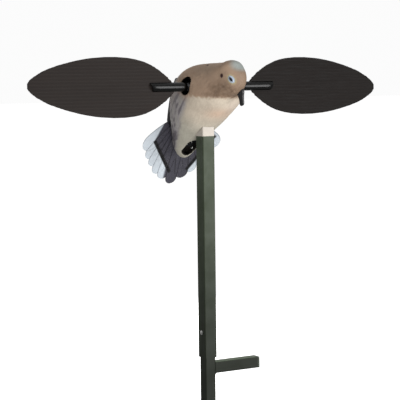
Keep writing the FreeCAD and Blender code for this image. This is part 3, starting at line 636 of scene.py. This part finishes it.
def paint_hood(colour, p, aft, up, lateral, wobble):
    """Tan head and shoulders, darker at the ragged lower edge and the brow, with painted shade at
    the throat.
    """
    _, forward, height = head_coords(p)
    ragged_at = np.stack([aft / 2.2, up / 2.2, lateral / 1.3], 1)
    ragged = (lattice_noise(ragged_at, 1.0, 4) - 0.5) * 3.4
    front = smooth(3.8, -5.0, aft - up + 1.5 * ragged + wobble * 0.3) * smooth(-2, -12, aft)
    back = smooth(10, -14, aft + wobble) * smooth(-14, -4, up)
    hood = np.maximum(front, back)
    line = np.exp(-(((aft - up + 7.0) / 5.0) ** 2)) * smooth(-12, -26, up)
    # painted shade under the head
    throat = np.minimum(sum(blob(p, *shade_mark) for shade_mark in THROAT_SHADE), 1)
    throat = throat * (0.7 + 0.6 * (lattice_noise(p, 3.2, 6) - 0.5))
    brow = smooth(5, 17, forward) * smooth(24, 14, height)
    colour = over(colour, TAN, hood)
    colour = over(colour, UMBER, hood * line * 0.45)
    colour = over(colour, UMBER, hood * throat)
    colour = over(colour, UMBER, hood * brow * 0.5)
    return over(colour, FAWN, blob(p, *NAPE_MARK) * 0.5)


def paint_face(colour, p):
    """The pale crown, the ring round each eye and the dark spot behind it."""
    away = [part - at for part, at in zip(head_coords(p), CROWN_AT)]
    colour = over(colour, CROWN, smooth(1.25, 0.55, ellipsoid(away, CROWN_HALF)) * 0.85)
    for sign in (-1, 1):
        near = (head_coords(p)[0] * sign > 3).astype(float)
        d = p - head_point(sign * RING_AT[0], *RING_AT[1:])
        run, rise = d @ FORWARD, d[:, 2]
        long_way = run * math.cos(EYE_AXIS) - rise * math.sin(EYE_AXIS)
        short_way = run * math.sin(EYE_AXIS) + rise * math.cos(EYE_AXIS)
        ring_out = np.hypot(long_way / RING_HALF[0], short_way / RING_HALF[1])
        colour = over(colour, MOSS, near * smooth(1.7, 0.9, ring_out) * 0.6)
        colour = over(colour, ORBIT, near * smooth(1.12, 0.82, ring_out))
        e = p - head_point(sign * EAR_AT[0], *EAR_AT[1:])
        spot = np.hypot(e @ FORWARD / EAR_HALF[0], e[:, 2] / EAR_HALF[1])
        colour = over(colour, MAROON, near * smooth(1.15, 0.75, spot))
    return colour


def paint_bird(p):
    """The airbrushed colours of the shell, from where each vertex is."""
    aft, up, lateral = bird_coords(p)
    wobble = (lattice_noise(p, 7.0, 1) - 0.5) * 5.0
    colour = np.tile(CREAM, (len(p), 1))
    colour = over(colour, STONE, smooth(5, 60, aft + wobble) * 0.9)
    for tone, centre, radii, strength in BREAST_MARKS:
        colour = over(colour, tone, blob(p, centre, radii) * strength)
    colour = paint_flanks(colour, aft, up, lateral, wobble)
    colour = paint_hood(colour, p, aft, up, lateral, wobble)
    colour = paint_face(colour, p)
    # painted shade for the small hole on the shoulder
    shade_mark = np.linalg.norm((p - SHOULDER_HOLE_SHADE) / np.array(SHOULDER_HOLE_SHADE_HALF), axis=1)
    colour = over(colour, MAROON, smooth(1.2, 0.7, shade_mark) * 0.8)
    tint = (lattice_noise(p, 11.0, 5) - 0.5) * 0.16
    return colour * (1 + tint)[:, None]


def remeshed_shell():
    """A copy of the CAD shell as one even mesh of small faces."""
    piece = bpy.data.objects.new("dove_shell", frame["nodes"]["body_shell"].data.copy())
    bpy.context.scene.collection.objects.link(piece)
    weld = piece.modifiers.new("weld", "WELD")
    weld.merge_threshold = 1e-5
    grid = piece.modifiers.new("grid", "REMESH")
    grid.mode = "VOXEL"
    grid.voxel_size = VOXEL * MM
    return applied(piece)


def flowed_neck(p, edges):
    """The shell's points with the head filled out and the neck flowed into it."""
    aft, up, _ = bird_coords(p)
    parts = head_coords(p)
    out = ellipsoid(parts, HEAD_HALF)
    fuller = smooth(1.3, 1.02, out) * smooth(-40, -50, aft)
    p = p + (p - HEAD) * (HEAD_FULLER * fuller)[:, None]
    p[:, 2] -= CROWN_FLATTER * fuller * smooth(6, 24, parts[2])
    crease = np.exp(-(((out - 1.16) / 0.2) ** 2)) * smooth(-26, -40, aft) * smooth(-14, 2, up)
    away = p - NECK_CENTRE
    away /= np.linalg.norm(away, axis=1, keepdims=True)
    p = p + away * (NECK_FILL * crease)[:, None]
    neck = smooth(0.97, 1.12, out) * smooth(2.1, 1.4, out) * smooth(-22, -38, aft)
    return relax(p, edges, neck * 0.7, NECK_ROUNDS)


def facing_out(p, normal):
    """1 on the outer skin, 0 on the inner one."""
    aft, _, _ = bird_coords(p)
    middle = np.interp(aft, CENTRE_LINE[:, 0], CENTRE_LINE[:, 1])
    centre = BIRD_ORIGIN + np.outer(aft, AFT) + np.outer(middle, UP)
    in_head = smooth(-48, -58, aft)[:, None]
    centre = centre * (1 - in_head) + HEAD * in_head
    outward = p - centre
    outward /= np.maximum(np.linalg.norm(outward, axis=1, keepdims=True), 1e-6)
    return smooth(0.12, 0.4, (normal * outward).sum(1))


def feathers(p, head_parts):
    """Each point's feather height in mm, how sunk it lies between feathers (for painted shade
    there), and its flow coordinates.
    """
    aft, up, lateral = bird_coords(p)
    middle = np.interp(aft, CENTRE_LINE[:, 0], CENTRE_LINE[:, 1])
    round_ = np.arctan2(lateral, -(up - middle)) * np.interp(aft, GIRTH_AT, GIRTH)
    big = scallops(aft + 2.5 * np.sin(round_ / 9), round_, PRIMARY)
    small = scallops(aft + 1.5 * np.sin(round_ / 6), round_, BREAST)
    upper = smooth(-12, 2, up)
    plain = 1 - smooth(1.5, 1.15, ellipsoid(head_parts, (18, 22, 26)))
    rise = (big * upper * PRIMARY_RISE + small * (1 - upper) * BREAST_RISE) * plain
    rise = rise * smooth(118, 104, aft)
    tuft_at = np.stack([aft / 5.5, round_ / 2.4, np.zeros(len(p))], 1)
    tufts = (lattice_noise(tuft_at, 1.0, 9) - 0.5) * TUFT_RISE
    rise = rise + tufts * (0.35 + 0.65 * plain)
    # how sunk each point lies between the feathers: painted shade
    gap_shade_mask = (1 - np.where(upper > 0.5, big, small)) * plain * (0.3 + 0.5 * upper)
    return rise, gap_shade_mask, np.stack([aft, round_, up], 1)


def make_bird():
    """The moulded shell: the CAD shell remeshed, its neck flowed in, feathers raised, painted."""
    piece = remeshed_shell()
    mesh = piece.data
    edges = edges_of(mesh)
    p = vertices_of(mesh)
    p = relax(p, edges, np.full(len(p), 0.5), SHELL_ROUNDS)
    head_parts = head_coords(p)
    p = flowed_neck(p, edges)
    set_vertices(mesh, p)
    normal = normals_of(mesh)
    outside = facing_out(p, normal)
    rise, gap_shade_mask, flow = feathers(p, head_parts)
    p = p + normal * (rise * outside)[:, None]
    set_vertices(mesh, p)
    set_paint(mesh, over(paint_bird(p), INSIDE, 1 - outside))
    # painted shade between the feathers, on the outer skin only
    set_number(mesh, "gap_shade", gap_shade_mask * outside)
    set_flow(mesh, flow)
    set_smooth(mesh)
    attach(piece, "bird")
    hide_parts("body_shell")
    dress(piece, MATERIALS["feather_paint"])


# ------------------------ eyes and beak


EYE_BALL = 6.15                     # the ball's radius
EYE_SHOWN = 0.86                    # radians of it that show, from its axis
EYE_RINGS, EYE_AROUND = 22, 56
EYE_PALE = linear(182, 194, 210)
EYE_OUTER = linear(150, 158, 166)
EYE_DARK = linear(10, 12, 22)
EYE_LINE = linear(60, 64, 84)


def eye_gloss():
    g = Graph("eye_gloss", Metallic=0.0, IOR=1.5, Coat_Weight=0.6, Coat_Roughness=0.08)
    fleck = g.noise(g.place(), 900.0, 3.0)
    paint = g.attribute("paint").outputs["Color"]
    dark = g.mix(1.0, paint, (0.7, 0.74, 0.8), "MULTIPLY")
    tone = g.mix(g.span(fleck, 0.4, 0.7, 0.0, 0.5), paint, dark)
    return g.finish(tone, g.span(fleck, 0.3, 0.7, 0.2, 0.34), g.bump(fleck, 0.1, 0.00006))


def eye_surface(sign):
    """Points and colours of one eye, ring by ring from the middle of its ball."""
    centre = head_point(sign * EYE_ACROSS, EYE_FORWARD, EYE_Z)
    out = unit(sign * ACROSS * 0.96 + FORWARD * 0.24)
    along = FORWARD * math.cos(EYE_AXIS) - np.array([0, 0, 1.0]) * math.sin(EYE_AXIS)
    along = unit(along - out * (along @ out))
    cross = np.cross(out, along)
    points, colours = [], []
    for i in range(EYE_RINGS):
        t = i / (EYE_RINGS - 1)
        pale = EYE_PALE if t < 0.86 else EYE_OUTER
        wide = EYE_BALL * math.sin(t * EYE_SHOWN)
        for a in turns(EYE_AROUND):
            u, w = t * math.cos(a), t * math.sin(a)
            almond = abs(w) / 0.6 + (u / 0.78) ** 2
            slit = 1 - float(smooth(0.8, 1.05, almond))
            lid = math.exp(-((almond - 1.15) / 0.22) ** 2) * 0.35
            dome = EYE_BALL * math.cos(t * EYE_SHOWN) + lid * (1 - t ** 6) + slit * 0.12
            points.append(
                centre
                + out * dome
                + along * (wide * math.cos(a) * EYE_LONG)
                + cross * (wide * math.sin(a) * EYE_SHORT)
            )
            edge = 0.5 * math.exp(-((almond - 1.0) / 0.12) ** 2)
            tone = pale * (1 - slit) + EYE_DARK * slit
            colours.append(tone * (1 - edge) + EYE_LINE * edge)
    return points, colours


def make_eyes():
    """Two lidded eyes: a pale almond ring round a dark glossy ball."""
    verts, faces, colours = [], [], []
    for sign in (-1, 1):
        start = len(verts)
        points, tones = eye_surface(sign)
        verts += points
        colours += tones
        for face in ring_faces(EYE_RINGS, EYE_AROUND):
            faces.append(tuple(v + start for v in face[::-sign]))
    eyes = mesh_piece("dove_eyes", verts, faces, "bird")
    set_paint(eyes.data, np.array(colours))
    dress(eyes, eye_gloss())
    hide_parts("eyes")


BEAK_BASE = head_point(-1.6, 10.0, 399.5)
BEAK_TIP = head_point(1.2, 15.6, 373.8)
BEAK_RINGS, BEAK_AROUND = 46, 48
BEAK_ROUND_FROM = 0.93              # where along the bill its tip begins to round off


def beak_radius(t):
    """The bill's radius at t along it: thick at the base, a slight knob, a rounded tip."""
    radius = 4.9 * (1 - t) ** 0.75 * 0.62 + 1.85 + 0.5 * math.exp(-((t - 0.88) / 0.1) ** 2)
    if t > BEAK_ROUND_FROM:
        q = (t - BEAK_ROUND_FROM) / (1 - BEAK_ROUND_FROM)
        radius *= math.sqrt(max(0.0, 1 - q ** 2)) * 0.97 + 0.03
    return radius


def make_beak():
    """A slim drooping bill with a gape line, a fleshy base and slit nostrils."""
    length = np.linalg.norm(BEAK_TIP - BEAK_BASE)
    run = unit(BEAK_TIP - BEAK_BASE)
    side = unit(ACROSS - run * (ACROSS @ run))
    front = np.cross(side, run)
    if front @ FORWARD < 0:
        front = -front
    verts = []
    for i in range(BEAK_RINGS):
        t = i / (BEAK_RINGS - 1)
        radius = beak_radius(t)
        bow = 1.1 * math.sin(math.pi * t) - 0.9 * t ** 3
        for a in turns(BEAK_AROUND):
            c, s = math.cos(a), math.sin(a)
            gape = math.exp(-((c + 0.28) / 0.1) ** 2) * (1 - 0.7 * t)
            nostril = math.exp(-((c - 0.45) / 0.16) ** 2 - ((t - 0.34) / 0.09) ** 2)
            cere = 0.35 * math.exp(-((t - 0.3) / 0.16) ** 2) * max(0.0, c)
            r = radius * (1 + cere) - 0.5 * gape - 0.55 * nostril * abs(s)
            middle = BEAK_BASE + run * (t * length)
            verts.append(middle + front * (bow + r * c * 1.12) + side * (r * s * 0.88))
    faces = ring_faces(BEAK_RINGS, BEAK_AROUND)
    faces += [ring(0, BEAK_AROUND)[::-1], ring(BEAK_RINGS - 1, BEAK_AROUND)]
    beak = mesh_piece("dove_beak", verts, faces, "bird")
    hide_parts("beak")
    dress(beak, MATERIALS["beak_gloss"])


# ------------------------ the tail

TAIL_FEATHERS = [                   # degrees off the middle, end and width, from the middle out
    (0.0, 106.0, 18.0), (9.6, 98.5, 21.0), (18.6, 92.5, 21.0),
    (29.0, 84.0, 21.0), (40.5, 78.5, 21.5), (55.0, 74.5, 27.0),
]
TAIL_START = (20.5, 21.0, 22.0, 20.0, 14.0, 7.0)
TAIL_ROWS, TAIL_COLS = 80, 21
TAIL_LIFT = 1.2                     # the fan's middle feather over the tail root
TAIL_STEP = 0.10                    # how far each feather lies under the next one out
TAIL_CUP, TAIL_CUP_AT = 9.6, 63.6   # how far the fan bends in, this far from its middle
BAR_OUTER = {-1: (42.2, 33.6), 1: (54.0, 27.0)}     # ends of the bar on each side of the fan
BAR_INNER = {-1: (4.4, 87.0), 1: (22.0, 84.0)}
PLAIN_FEATHERS = {-1: 1, 1: 2}      # how many middle feathers have no pale tip
PALE_START = (29.0, 0.0)            # the pale area's edge runs from here to the bar's outer end
BAR_WIDTH = 5.4

TAIL_SLATE = linear(62, 61, 70)
TAIL_PALE = linear(196, 204, 211)
TAIL_BAR = linear(6, 7, 12)


def ramp(low, high, value):
    return float(smooth(low, high, value))


def paint_tail(across, along, order, to_edge):
    """Slate inside, a black bar, pale tips; the middle feathers stay slate."""
    wide = abs(across)
    side = -1 if across < 0 else 1
    far, near = BAR_OUTER[side], BAR_INNER[side]
    bx, by = far[0] - near[0], far[1] - near[1]
    px, py = far[0] - PALE_START[0], far[1] - PALE_START[1]
    size = math.hypot(bx, by)
    beyond = ((wide - near[0]) * -by + (along - near[1]) * bx) / size
    down = (wide - near[0]) * bx / size + (along - near[1]) * by / size
    outer = ((wide - PALE_START[0]) * py - (along - PALE_START[1]) * px) / math.hypot(px, py)
    pale = 0.0
    if order >= PLAIN_FEATHERS[side]:
        pale = max(ramp(-0.8, 1.6, beyond), ramp(-1.5, 1.5, outer) * ramp(-3, 1, down))
        pale *= ramp(11, 15, wide)
    bar = ramp(BAR_WIDTH / 2 + 0.5, BAR_WIDTH / 2 - 0.7, abs(beyond))
    bar *= ramp(-1.0, 1.0, down) * ramp(size + 1.5, size - 0.5, down)
    tone = TAIL_SLATE * (1 - pale) + TAIL_PALE * pale
    tone = tone * (1 - (0.75 - 0.4 * pale) * ramp(0.82, 1.0, to_edge))
    return tone * (1 - bar) + TAIL_BAR * bar


def blade_half(t, width, round_from):
    """Half the blade's width at t along it: slimmer at the root, rounded at the tip."""
    half = width / 2 * min(1.0, 0.7 + 0.55 * t)
    if t > round_from:
        q = (t - round_from) / (1 - round_from)
        half *= max(0.0, 1 - q ** 2.3) ** 0.5
    return half


def blade_side(k, level, face_side):
    """One side of a blade, row by row from the root: (point, colour, flow) for each vertex."""
    order = abs(k)
    angle, end, width = TAIL_FEATHERS[order]
    angle = math.radians(angle) * (1 if k >= 0 else -1)
    ahead = np.array([math.sin(angle), math.cos(angle)])
    across = np.array([math.cos(angle), -math.sin(angle)])
    begin = TAIL_START[order]
    run = end - begin
    rise = (level - 5) * -TAIL_STEP - 0.012 * order
    for i in range(TAIL_ROWS):
        t = 1 - (1 - i / (TAIL_ROWS - 1)) ** 1.5
        half = blade_half(t, width, 1 - 0.62 * width / run)
        for j in range(TAIL_COLS):
            w = 2 * j / (TAIL_COLS - 1) - 1
            flat = ahead * (begin + run * t) + across * (half * w)
            camber = -0.5 * (w * half / 10) ** 2
            out = -TAIL_CUP * (flat[0] / TAIL_CUP_AT) ** 2 + camber + rise
            if half >= 1e-6:
                shaft = 0.34 * math.exp(-(w * half / 0.55) ** 2) * (1 - 0.6 * t)
                thick = 0.75 * (1 - 0.55 * abs(w) ** 3) * (1 - 0.45 * t)
                vane = 0.07 * math.sin((t * end - abs(w) * half * 0.9) * 1.9)
                out = out + face_side * (thick + shaft) + vane
            point = TAIL_ROOT + TAIL_OUT * (out + TAIL_LIFT) + TAIL_ALONG * flat[1]
            yield (
                point + np.array([flat[0], 0, 0]),
                paint_tail(flat[0], flat[1], order, abs(w)),
                (run * t + abs(w) * half * 0.8, half * w, level * 3.0),
            )


def blade_faces(top, low):
    """Quads over both sides of a blade and round its edges, from each side's first vertex."""
    faces = []
    for start, turn in ((top, -1), (low, 1)):
        for i in range(TAIL_ROWS - 1):
            for j in range(TAIL_COLS - 1):
                a = start + i * TAIL_COLS + j
                faces.append((a, a + 1, a + TAIL_COLS + 1, a + TAIL_COLS)[::turn])
    for i in range(TAIL_ROWS - 1):
        for j, turn in ((0, 1), (TAIL_COLS - 1, -1)):
            a, b = top + i * TAIL_COLS + j, low + i * TAIL_COLS + j
            faces.append((a, a + TAIL_COLS, b + TAIL_COLS, b)[::turn])
    for j in range(TAIL_COLS - 1):
        faces.append((top + j, low + j, low + j + 1, top + j + 1))
    return faces


def make_tail():
    """Eleven separate overlapping blades with shafts, cupped towards the belly."""
    made, faces = [], []
    for level, k in enumerate(sorted(range(-5, 6), key=lambda k: -abs(k))):
        top = len(made)
        made += blade_side(k, level, 1)
        low = len(made)
        made += blade_side(k, level, -1)
        faces += blade_faces(top, low)
    verts, colours, flows = zip(*made)
    tail = mesh_piece("tail_feathers", verts, faces, "bird")
    set_paint(tail.data, np.array(colours))
    set_number(tail.data, "gap_shade", np.zeros(len(verts)))
    set_flow(tail.data, np.array(flows))
    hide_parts("tail_fan")
    dress(tail, MATERIALS["tail_paint"])


# ------------------------ wings and their sockets

FLUTE = 4.4                         # about one flute's width; the sheet holds a whole number
FLUTE_LINES = 5                     # lines of vertices over one flute
WEB = 0.5                           # thickness of the walls between flutes
SKIN = 0.38                         # thickness of each skin
SHEET_HALF = 1.5                    # half the sheet's thickness
GROOVE = 0.11                       # how far the skins sink over the webs
WING_COLUMNS = 60
OUTLINE_SAMPLES = 180
SPAR_END = 214.0                    # where the spar stops, out from the bird
SPAR_V = -0.4                       # the spar's height in the sheet
FRONT_SKIN, BACK_SKIN, CUT_EDGE = 0, 1, 2


def wing_outline(node):
    """(u, low, high) samples of the wing's outline from its CAD node, u outwards from the axis."""
    p = vertices_of(frame["nodes"][node].data)
    front = p[p[:, 1] < WING_AXIS[1] - SHEET_HALF + 0.05]
    u = np.abs(front[:, 0])
    v = front[:, 2] - WING_AXIS[2]
    if front[:, 0].mean() < 0:
        v = -v
    grid = np.linspace(u.min(), u.max(), OUTLINE_SAMPLES)
    mid = np.interp(grid, [u.min(), u.max()], [v[u.argmin()], v[u.argmax()]])
    result = []
    for pick in (v <= np.interp(u, grid, mid), v >= np.interp(u, grid, mid)):
        uu, vv = u[pick], v[pick]
        order = np.argsort(uu)
        result.append(np.interp(grid, uu[order], vv[order]))
    return grid, result[0], result[1]


def flute_lines(bottom, top):
    """Heights of the lines of vertices, and for each whether it runs beside a web."""
    flutes = int(round((top - bottom) / FLUTE))
    pitch = (top - bottom) / flutes
    lines, beside_web = [], []
    for c in range(flutes):
        v0, v1 = bottom + c * pitch, bottom + (c + 1) * pitch
        for t in np.linspace(0, 1, FLUTE_LINES):
            lines.append(v0 + WEB / 2 + t * (v1 - v0 - WEB))
            beside_web.append(t in (0.0, 1.0))
    lines[0], lines[-1] = bottom, top
    return lines, beside_web


def skin_layer(sign, depth, groove, lines, beside_web, spans):
    """One face of a skin, line by line: (point, rib) for each vertex; rib holds the webs' lines and
    the spar's painted highlight.
    """
    fractions = 0.5 - 0.5 * np.cos(np.linspace(0, math.pi, WING_COLUMNS))
    for v, web, (near, far) in zip(lines, beside_web, spans):
        bulge = 0.16 * math.exp(-((v - SPAR_V) / 0.9) ** 2)
        # a painted highlight along the spar's ridge
        glint = 0.55 * math.exp(-((v - SPAR_V) / 0.55) ** 2)
        for f in fractions:
            u = near + (far - near) * f
            y = depth
            if groove:
                ridge = bulge * ramp(SPAR_END + 2, SPAR_END - 6, u)
                y = depth + math.copysign(ridge - (groove if web else 0.0), depth)
            rib_and_glint = max(glint * ramp(SPAR_END + 1, SPAR_END - 3, u), 0.5 if web else 0.0)
            yield (sign * u, WING_AXIS[1] + y, WING_AXIS[2] + sign * v), rib_and_glint


def sheet_faces(lines, front, back, inner_front, inner_back):
    """Quads of the skins, webs and cut edges, from each layer's first vertex; and their rooms."""
    faces, rooms = [], []
    step = WING_COLUMNS

    def quad(p, q, along, room):
        faces.append((p, p + along, q + along, q))
        rooms.append(room)

    for i in range(lines - 1):
        in_web = i % FLUTE_LINES == FLUTE_LINES - 1
        for k in range(i * step, i * step + step - 1):
            quad(front + k, front + k + step, 1, FRONT_SKIN)
            quad(back + k, back + k + 1, step, BACK_SKIN)
            if not in_web:
                quad(inner_front + k, inner_front + k + 1, step, CUT_EDGE)
                quad(inner_back + k, inner_back + k + step, 1, CUT_EDGE)
        for k in (i * step, i * step + step - 1):
            quad(front + k, inner_front + k, step, CUT_EDGE)
            quad(back + k, inner_back + k, step, CUT_EDGE)
            if in_web:
                quad(inner_front + k, inner_back + k, step, CUT_EDGE)
    for i in range(lines):
        if i % FLUTE_LINES in (0, FLUTE_LINES - 1):
            for k in range(i * step, i * step + step - 1):
                quad(inner_front + k, inner_back + k, 1, CUT_EDGE)
    for i in (0, lines - 1):
        for k in range(i * step, i * step + step - 1):
            quad(front + k, back + k, 1, CUT_EDGE)
    return faces, rooms


def make_wing(side, sign, node, body):
    """Twin-wall sheet cut to a leaf: two skins, webs between the flutes, open cells at the rim."""
    grid, low, high = wing_outline(node)
    lines, beside_web = flute_lines(low.min() + 0.15, high.max() - 0.15)
    spans = []
    for v in lines:
        inside = grid[(low <= v) & (high >= v)]
        spans.append((inside.min(), inside.max()))
    made, starts = [], []
    inner = SHEET_HALF - SKIN
    for depth, groove in ((-SHEET_HALF, GROOVE), (SHEET_HALF, GROOVE), (-inner, 0), (inner, 0)):
        starts.append(len(made))
        made += skin_layer(sign, depth, groove, lines, beside_web, spans)
    verts, ribs_and_glints = zip(*made)
    faces, rooms = sheet_faces(len(lines), *starts)
    wing = mesh_piece(f"wing_sheet_{side}", verts, faces, body)
    set_number(wing.data, "rib_and_glint", ribs_and_glints)
    dress(wing, WING_FRONT[side], WING_BACK, WING_RIM)
    wing.data.polygons.foreach_set("material_index", rooms)
    wing.data.polygons.foreach_set("use_smooth", [room != CUT_EDGE for room in rooms])
    wind_faces(wing)
    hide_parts(node)


SOCKET_R = 6.35
SOCKET_SLANT = 4.6                  # how much shorter the outer end is below than above
SOCKET_AROUND = 72


def make_socket(side, sign, node, body):
    """A gloss tube with a chamfered mouth at the bird and a slanted, bored outer end."""
    near, far = sorted(abs(corner.x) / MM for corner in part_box(node))
    reach = far - near
    profile = [                     # distance from the mouth, radius, share of the slant
        (0.0, 3.3, 0), (0.0, 5.7, 0), (0.15, 6.05, 0), (0.7, SOCKET_R, 0), (7.4, SOCKET_R, 0),
        (7.7, 6.1, 0), (8.5, 6.1, 0), (8.8, SOCKET_R, 0), (30.0, SOCKET_R, 0),
        (reach - 12.0, SOCKET_R, 0.4), (reach - 0.8, SOCKET_R, 1), (reach - 0.25, 6.1, 1),
        (reach, 5.7, 1), (reach, 4.9, 1), (reach - 7.0, 4.7, 1),
    ]
    verts = []
    for u, r, slant in profile:
        for a in turns(SOCKET_AROUND):
            shift = slant * SOCKET_SLANT * (0.5 * math.sin(a) - 0.5)
            verts.append((
                sign * (near + u + shift),
                WING_AXIS[1] + r * math.cos(a),
                WING_AXIS[2] + r * math.sin(a),
            ))
    faces = ring_faces(len(profile), SOCKET_AROUND)
    faces += [ring(0, SOCKET_AROUND), ring(len(profile) - 1, SOCKET_AROUND)[::-1]]
    socket = mesh_piece(f"wing_tube_{side}", verts, faces, body)
    wind_faces(socket)
    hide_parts(node)
    sharpen(socket)
    dress(socket, MATERIALS["socket_gloss"])


make_bird()
make_eyes()
make_beak()
make_tail()
for side, sign, body in (("left", 1, "wing_left"), ("right", -1, "wing_right")):
    make_wing(side, sign, f"wing_panel_{side}", body)
    make_socket(side, sign, f"wing_socket_{side}", body)


# ------------------------ floor, light, camera


FLOOR_HALF = 30.0                   # metres
FLOOR_DROP = 0.0005
FLOOR_GLOW = 0.5
LIGHTS = (                          # name, place, aim, size, watts, whether gloss mirrors it
    ("key", (0.80, -1.39, 0.33), (0, 0, 0.36), (0.98, 1.16), 19, True),
    ("bounce", (-0.40, -1.05, -0.30), (0, 0, 0.36), (1.1, 0.8), 15, False),
    ("rear", (0.35, 1.55, 0.55), (0, 0, 0.28), (1.2, 1.2), 25, False),
)
CAMERA_AT = (-1.06994, -1.78239, 0.41367)
CAMERA_ANGLES = (-30.75, 4.69, -0.70)       # turn, pitch and roll in degrees
CAMERA_LENS, CAMERA_SENSOR = 135.33, 36.0
CAMERA_CLIP = (0.05, 100)


def make_floor():
    """A white floor that only the camera sees."""
    z = CAD_BOX[0].z - FLOOR_DROP
    corners = [(x * FLOOR_HALF, y * FLOOR_HALF, z) for x, y in ((-1, -1), (1, -1), (1, 1), (-1, 1))]
    mesh = bpy.data.meshes.new("floor")
    mesh.from_pydata(corners, [], [(0, 1, 2, 3)])
    floor = bpy.data.objects.new("floor", mesh)
    bpy.context.scene.collection.objects.link(floor)
    g = Graph("floor", Metallic=0.0, Emission_Color=(1, 1, 1, 1), Emission_Strength=FLOOR_GLOW)
    haze = g.noise(g.place(), 3.0, 2.0)
    tone = g.mix(g.span(haze, 0.3, 0.7), (0.93, 0.93, 0.93), (0.95, 0.95, 0.95))
    dress(floor, g.finish(tone, 0.9))
    floor.visible_diffuse = False
    floor.visible_glossy = False
    floor.visible_shadow = False


def area_light(name, at, aim, size, power, mirrored):
    lamp = bpy.data.lights.new(name, "AREA")
    lamp.shape = "RECTANGLE"
    lamp.size, lamp.size_y = size
    lamp.energy = power
    holder = bpy.data.objects.new(name, lamp)
    bpy.context.scene.collection.objects.link(holder)
    holder.location = at
    holder.rotation_mode = "QUATERNION"
    holder.rotation_quaternion = (Vector(aim) - Vector(at)).to_track_quat("-Z", "Y")
    holder.visible_glossy = mirrored


SKY_SEEN = 0.97                     # the sky's strength straight behind the object
SKY_LOW, SKY_HIGH = 0.26, 0.75      # and as light on it, at the horizon and overhead


def make_light():
    """A sky that is brighter overhead and nearly white to the camera, and three area lights."""
    world = bpy.data.worlds.new("studio")
    world.use_nodes = True
    tree = world.node_tree
    sky = tree.nodes["Background"]
    sky.inputs["Color"].default_value = (1, 1, 1, 1)
    direction = tree.nodes.new("ShaderNodeTexCoord")
    axes = tree.nodes.new("ShaderNodeSeparateXYZ")
    dome = tree.nodes.new("ShaderNodeMapRange")
    dome.inputs["From Min"].default_value = 0.0
    dome.inputs["From Max"].default_value = 1.0
    dome.inputs["To Min"].default_value = SKY_LOW
    dome.inputs["To Max"].default_value = SKY_HIGH
    seen = tree.nodes.new("ShaderNodeLightPath")
    chosen = tree.nodes.new("ShaderNodeMix")
    chosen.inputs["B"].default_value = SKY_SEEN
    tree.links.new(direction.outputs["Generated"], axes.inputs[0])
    tree.links.new(axes.outputs[2], dome.inputs["Value"])
    tree.links.new(seen.outputs["Is Camera Ray"], chosen.inputs["Factor"])
    tree.links.new(dome.outputs["Result"], chosen.inputs["A"])
    tree.links.new(chosen.outputs["Result"], sky.inputs["Strength"])
    bpy.context.scene.world = world
    for light in LIGHTS:
        area_light(*light)
    bpy.context.scene.view_settings.view_transform = "Standard"


def make_camera():
    """The photograph's viewpoint: from the front left, a little above, with a long lens."""
    turn, pitch, roll = (math.radians(angle) for angle in CAMERA_ANGLES)
    flat = math.cos(pitch)
    back = Vector((math.sin(turn) * flat, -math.cos(turn) * flat, math.sin(pitch)))
    right = Vector((math.cos(turn), math.sin(turn), 0))
    up = back.cross(right)
    right, up = (
        right * math.cos(roll) + up * math.sin(roll),
        up * math.cos(roll) - right * math.sin(roll),
    )
    camera = bpy.data.cameras.new("camera")
    camera.lens = CAMERA_LENS
    camera.sensor_width = CAMERA_SENSOR
    camera.clip_start, camera.clip_end = CAMERA_CLIP
    holder = bpy.data.objects.new("camera", camera)
    bpy.context.scene.collection.objects.link(holder)
    pose = Matrix((right, up, back)).transposed().to_4x4()
    pose.translation = Vector(CAMERA_AT)
    holder.matrix_world = pose
    bpy.context.scene.camera = holder


make_floor()
make_light()
make_camera()
